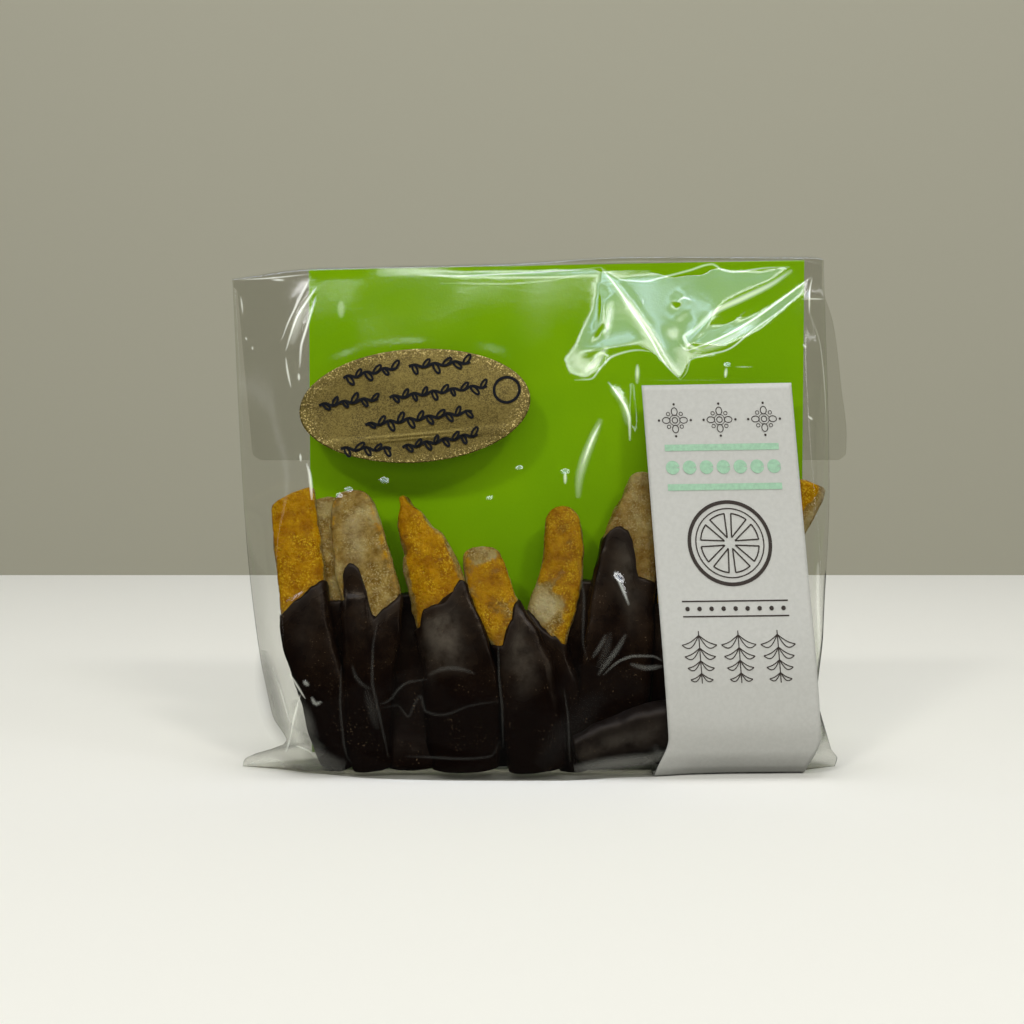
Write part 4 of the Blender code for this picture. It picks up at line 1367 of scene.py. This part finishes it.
PEN_WIDTH = 0.00062
VINES = [
    ((-0.0155, 0.007), (-0.0035, 0.0088)), ((-0.001, 0.0087), (0.0125, 0.009)),
    ((-0.021, 0.0012), (-0.008, 0.002)), ((-0.0055, 0.002), (0.016, 0.0034)),
    ((-0.011, -0.0038), (0.0125, -0.0022)), ((-0.0165, -0.0088), (-0.0055, -0.0094)),
    ((-0.003, -0.0092), (0.0135, -0.0072)),
]
VINE_STEP = 0.0021
VINE_LEAF = 0.0022


def drawn_vine(start, end, seed):
    """A wavy stem drawn by hand, with narrow leaves above and below it by turns."""
    rng = np.random.default_rng(seed)
    count = round(math.dist(start, end) / VINE_STEP)
    t = np.linspace(0, 1, count * 10)
    stem = np.outer(1 - t, start) + np.outer(t, end)
    stem[:, 1] += 0.00035 * np.sin(math.pi * count * t)
    lines = [(stem, PEN_WIDTH)]
    turn = np.linspace(0, 2 * math.pi, 22)
    for i in range(count):
        root = stem[round((i + 0.4) / count * (len(stem) - 1))]
        lean = math.radians(rng.uniform(38, 68))
        length = VINE_LEAF * rng.uniform(0.75, 1.15)
        leaf = turned(length * (1 - np.cos(turn)) / 2, 0.20 * length * np.sin(turn), lean)
        upright = (1, 1 if i % 2 else -1)
        lines.append((root + np.stack(leaf, axis=1) * upright, PEN_WIDTH * 0.8))
    return lines


def make_pen_strokes():
    lines = [(arc((0.0203, 0.0022), 0.0028, steps=50), PEN_WIDTH)]
    for i, (start, end) in enumerate(VINES):
        lines += drawn_vine(start, end, 500 + i)
    print_lines("pen_strokes", lines, on_sticker, PEN_INK, "gold_sticker")


# The table and the wall, the lights and the camera

TABLE_HALF_WIDTH = 3
TABLE_FRONT = -2
WALL_Y = 0.45
WALL_TOP = 2.5
STAGE_DROP = 0.00005
MIDDLE = Vector((0, 0, 0.06))
LAMP_FROM = 36.5
LAMP_TO = 41
# Bands of the ceiling that the film mirrors: elevations from and to, and brightness.
CEILING = [
    (41, 46, 1.7), (46, 48.5, 2.4), (48.5, 51, 9), (51, 57, 2.1), (57, 64, 3.5), (64, 76, 2.2),
]
CAMERA_LENS = 64.7
CAMERA_PLACE = (-0.0068, -0.4034, 0.0813)
CAMERA_PITCH = -3.48


def make_sheet(name, near, far, material):
    """A wide sheet of the stage between two lines given as (y, z)."""
    half = TABLE_HALF_WIDTH
    corners = [(-half, *near), (half, *near), (half, *far), (-half, *far)]
    mesh = bpy.data.meshes.new(name)
    mesh.from_pydata([(x, y, z - STAGE_DROP) for x, y, z in corners], [], [(0, 1, 2, 3)])
    mesh.materials.append(material)
    sheet = bpy.data.objects.new(name, mesh)
    bpy.context.scene.collection.objects.link(sheet)


def make_stage():
    wall_paint = Shader("wall_paint").surface((0.455, 0.443, 0.35), 0.8)
    make_sheet("floor", (TABLE_FRONT, 0), (WALL_Y, 0), floor_material())
    make_sheet("wall", (WALL_Y, 0), (WALL_Y, WALL_TOP), wall_paint)


def add_light(name, elevation, azimuth, distance, size, power, colour=WHITE):
    """A soft rectangular light that faces the bag. Azimuth 0 is in front, and positive is to the right."""
    light = bpy.data.lights.new(name, "AREA")
    light.shape = "RECTANGLE"
    light.size, light.size_y = size
    light.energy = power
    light.color = colour
    e, a = math.radians(elevation), math.radians(azimuth)
    away = Vector((math.sin(a) * math.cos(e), -math.cos(a) * math.cos(e), math.sin(e)))
    thing = bpy.data.objects.new(name, light)
    thing.location = MIDDLE + away * distance
    thing.rotation_euler = away.to_track_quat("Z", "Y").to_euler()
    bpy.context.scene.collection.objects.link(thing)
    return thing


def add_panel(name, low, high, azimuth, distance, width, radiance, colour=WHITE):
    """A flat light that fills the elevations from low to high, seen from the bag."""
    tall = 2 * distance * math.tan(math.radians(high - low) / 2)
    power = radiance * width * tall * math.pi
    return add_light(name, (low + high) / 2, azimuth, distance, (width, tall), power, colour)


def make_lights():
    """The panels are what the film mirrors. The overhead, fill and spots only cast light and shade."""
    add_panel("lamp", LAMP_FROM, LAMP_TO, 4, 1.4, 1.3, 10.0)
    for i, (low, high, radiance) in enumerate(CEILING):
        panel = add_panel(f"ceiling_{i}", low, high, 0, 1.5, 2.6, radiance, (0.86, 1.02, 1.36))
        panel.visible_diffuse = False
    add_panel("side_left", 8, 46, -52, 1.3, 0.10, 0.8)
    add_panel("side_right", 8, 46, 56, 1.3, 0.10, 4.0)
    casting = [
        add_light("overhead", 90, 0, 1.1, (0.5, 0.5), 5.3, (1.0, 1.0, 0.98)),
        add_light("fill", 10, 0, 1.3, (0.5, 0.3), 1.5, (1.0, 0.97, 0.90)),
        add_light("spot_left", 34, -26, 1.3, (0.14, 0.10), 2.85, (1.0, 0.96, 0.86)),
        add_light("spot_right", 34, 26, 1.3, (0.14, 0.10), 2.85, (1.0, 0.96, 0.86)),
    ]
    for light in casting:
        light.visible_glossy = False


def make_world():
    """A dim pale room, dimmer still in reflections."""
    world = bpy.data.worlds.new("studio")
    world.use_nodes = True
    tree = world.node_tree
    background = tree.nodes["Background"]
    background.inputs["Color"].default_value = (0.9, 0.9, 0.88, 1.0)
    path = tree.nodes.new("ShaderNodeLightPath")
    strength = tree.nodes.new("ShaderNodeMix")
    strength.data_type = "FLOAT"
    strength.inputs["A"].default_value = 0.13
    strength.inputs["B"].default_value = 0.015
    tree.links.new(path.outputs["Is Glossy Ray"], strength.inputs["Factor"])
    tree.links.new(strength.outputs["Result"], background.inputs["Strength"])
    bpy.context.scene.world = world


def make_camera():
    data = bpy.data.cameras.new("camera")
    data.lens = CAMERA_LENS
    data.sensor_width = 36.0
    data.clip_start = 0.01
    camera = bpy.data.objects.new("camera", data)
    camera.location = CAMERA_PLACE
    camera.rotation_euler = (math.radians(90 + CAMERA_PITCH), 0, 0)
    bpy.context.scene.collection.objects.link(camera)
    bpy.context.scene.camera = camera


make_stage()
make_lights()
make_world()
make_camera()
bpy.context.scene.view_settings.view_transform = "Standard"
make_card()
contents = make_strips()
film = make_film(contents)
make_flap()
make_painted_glints(film)
make_label()
make_label_print()
make_sticker()
make_pen_strokes()
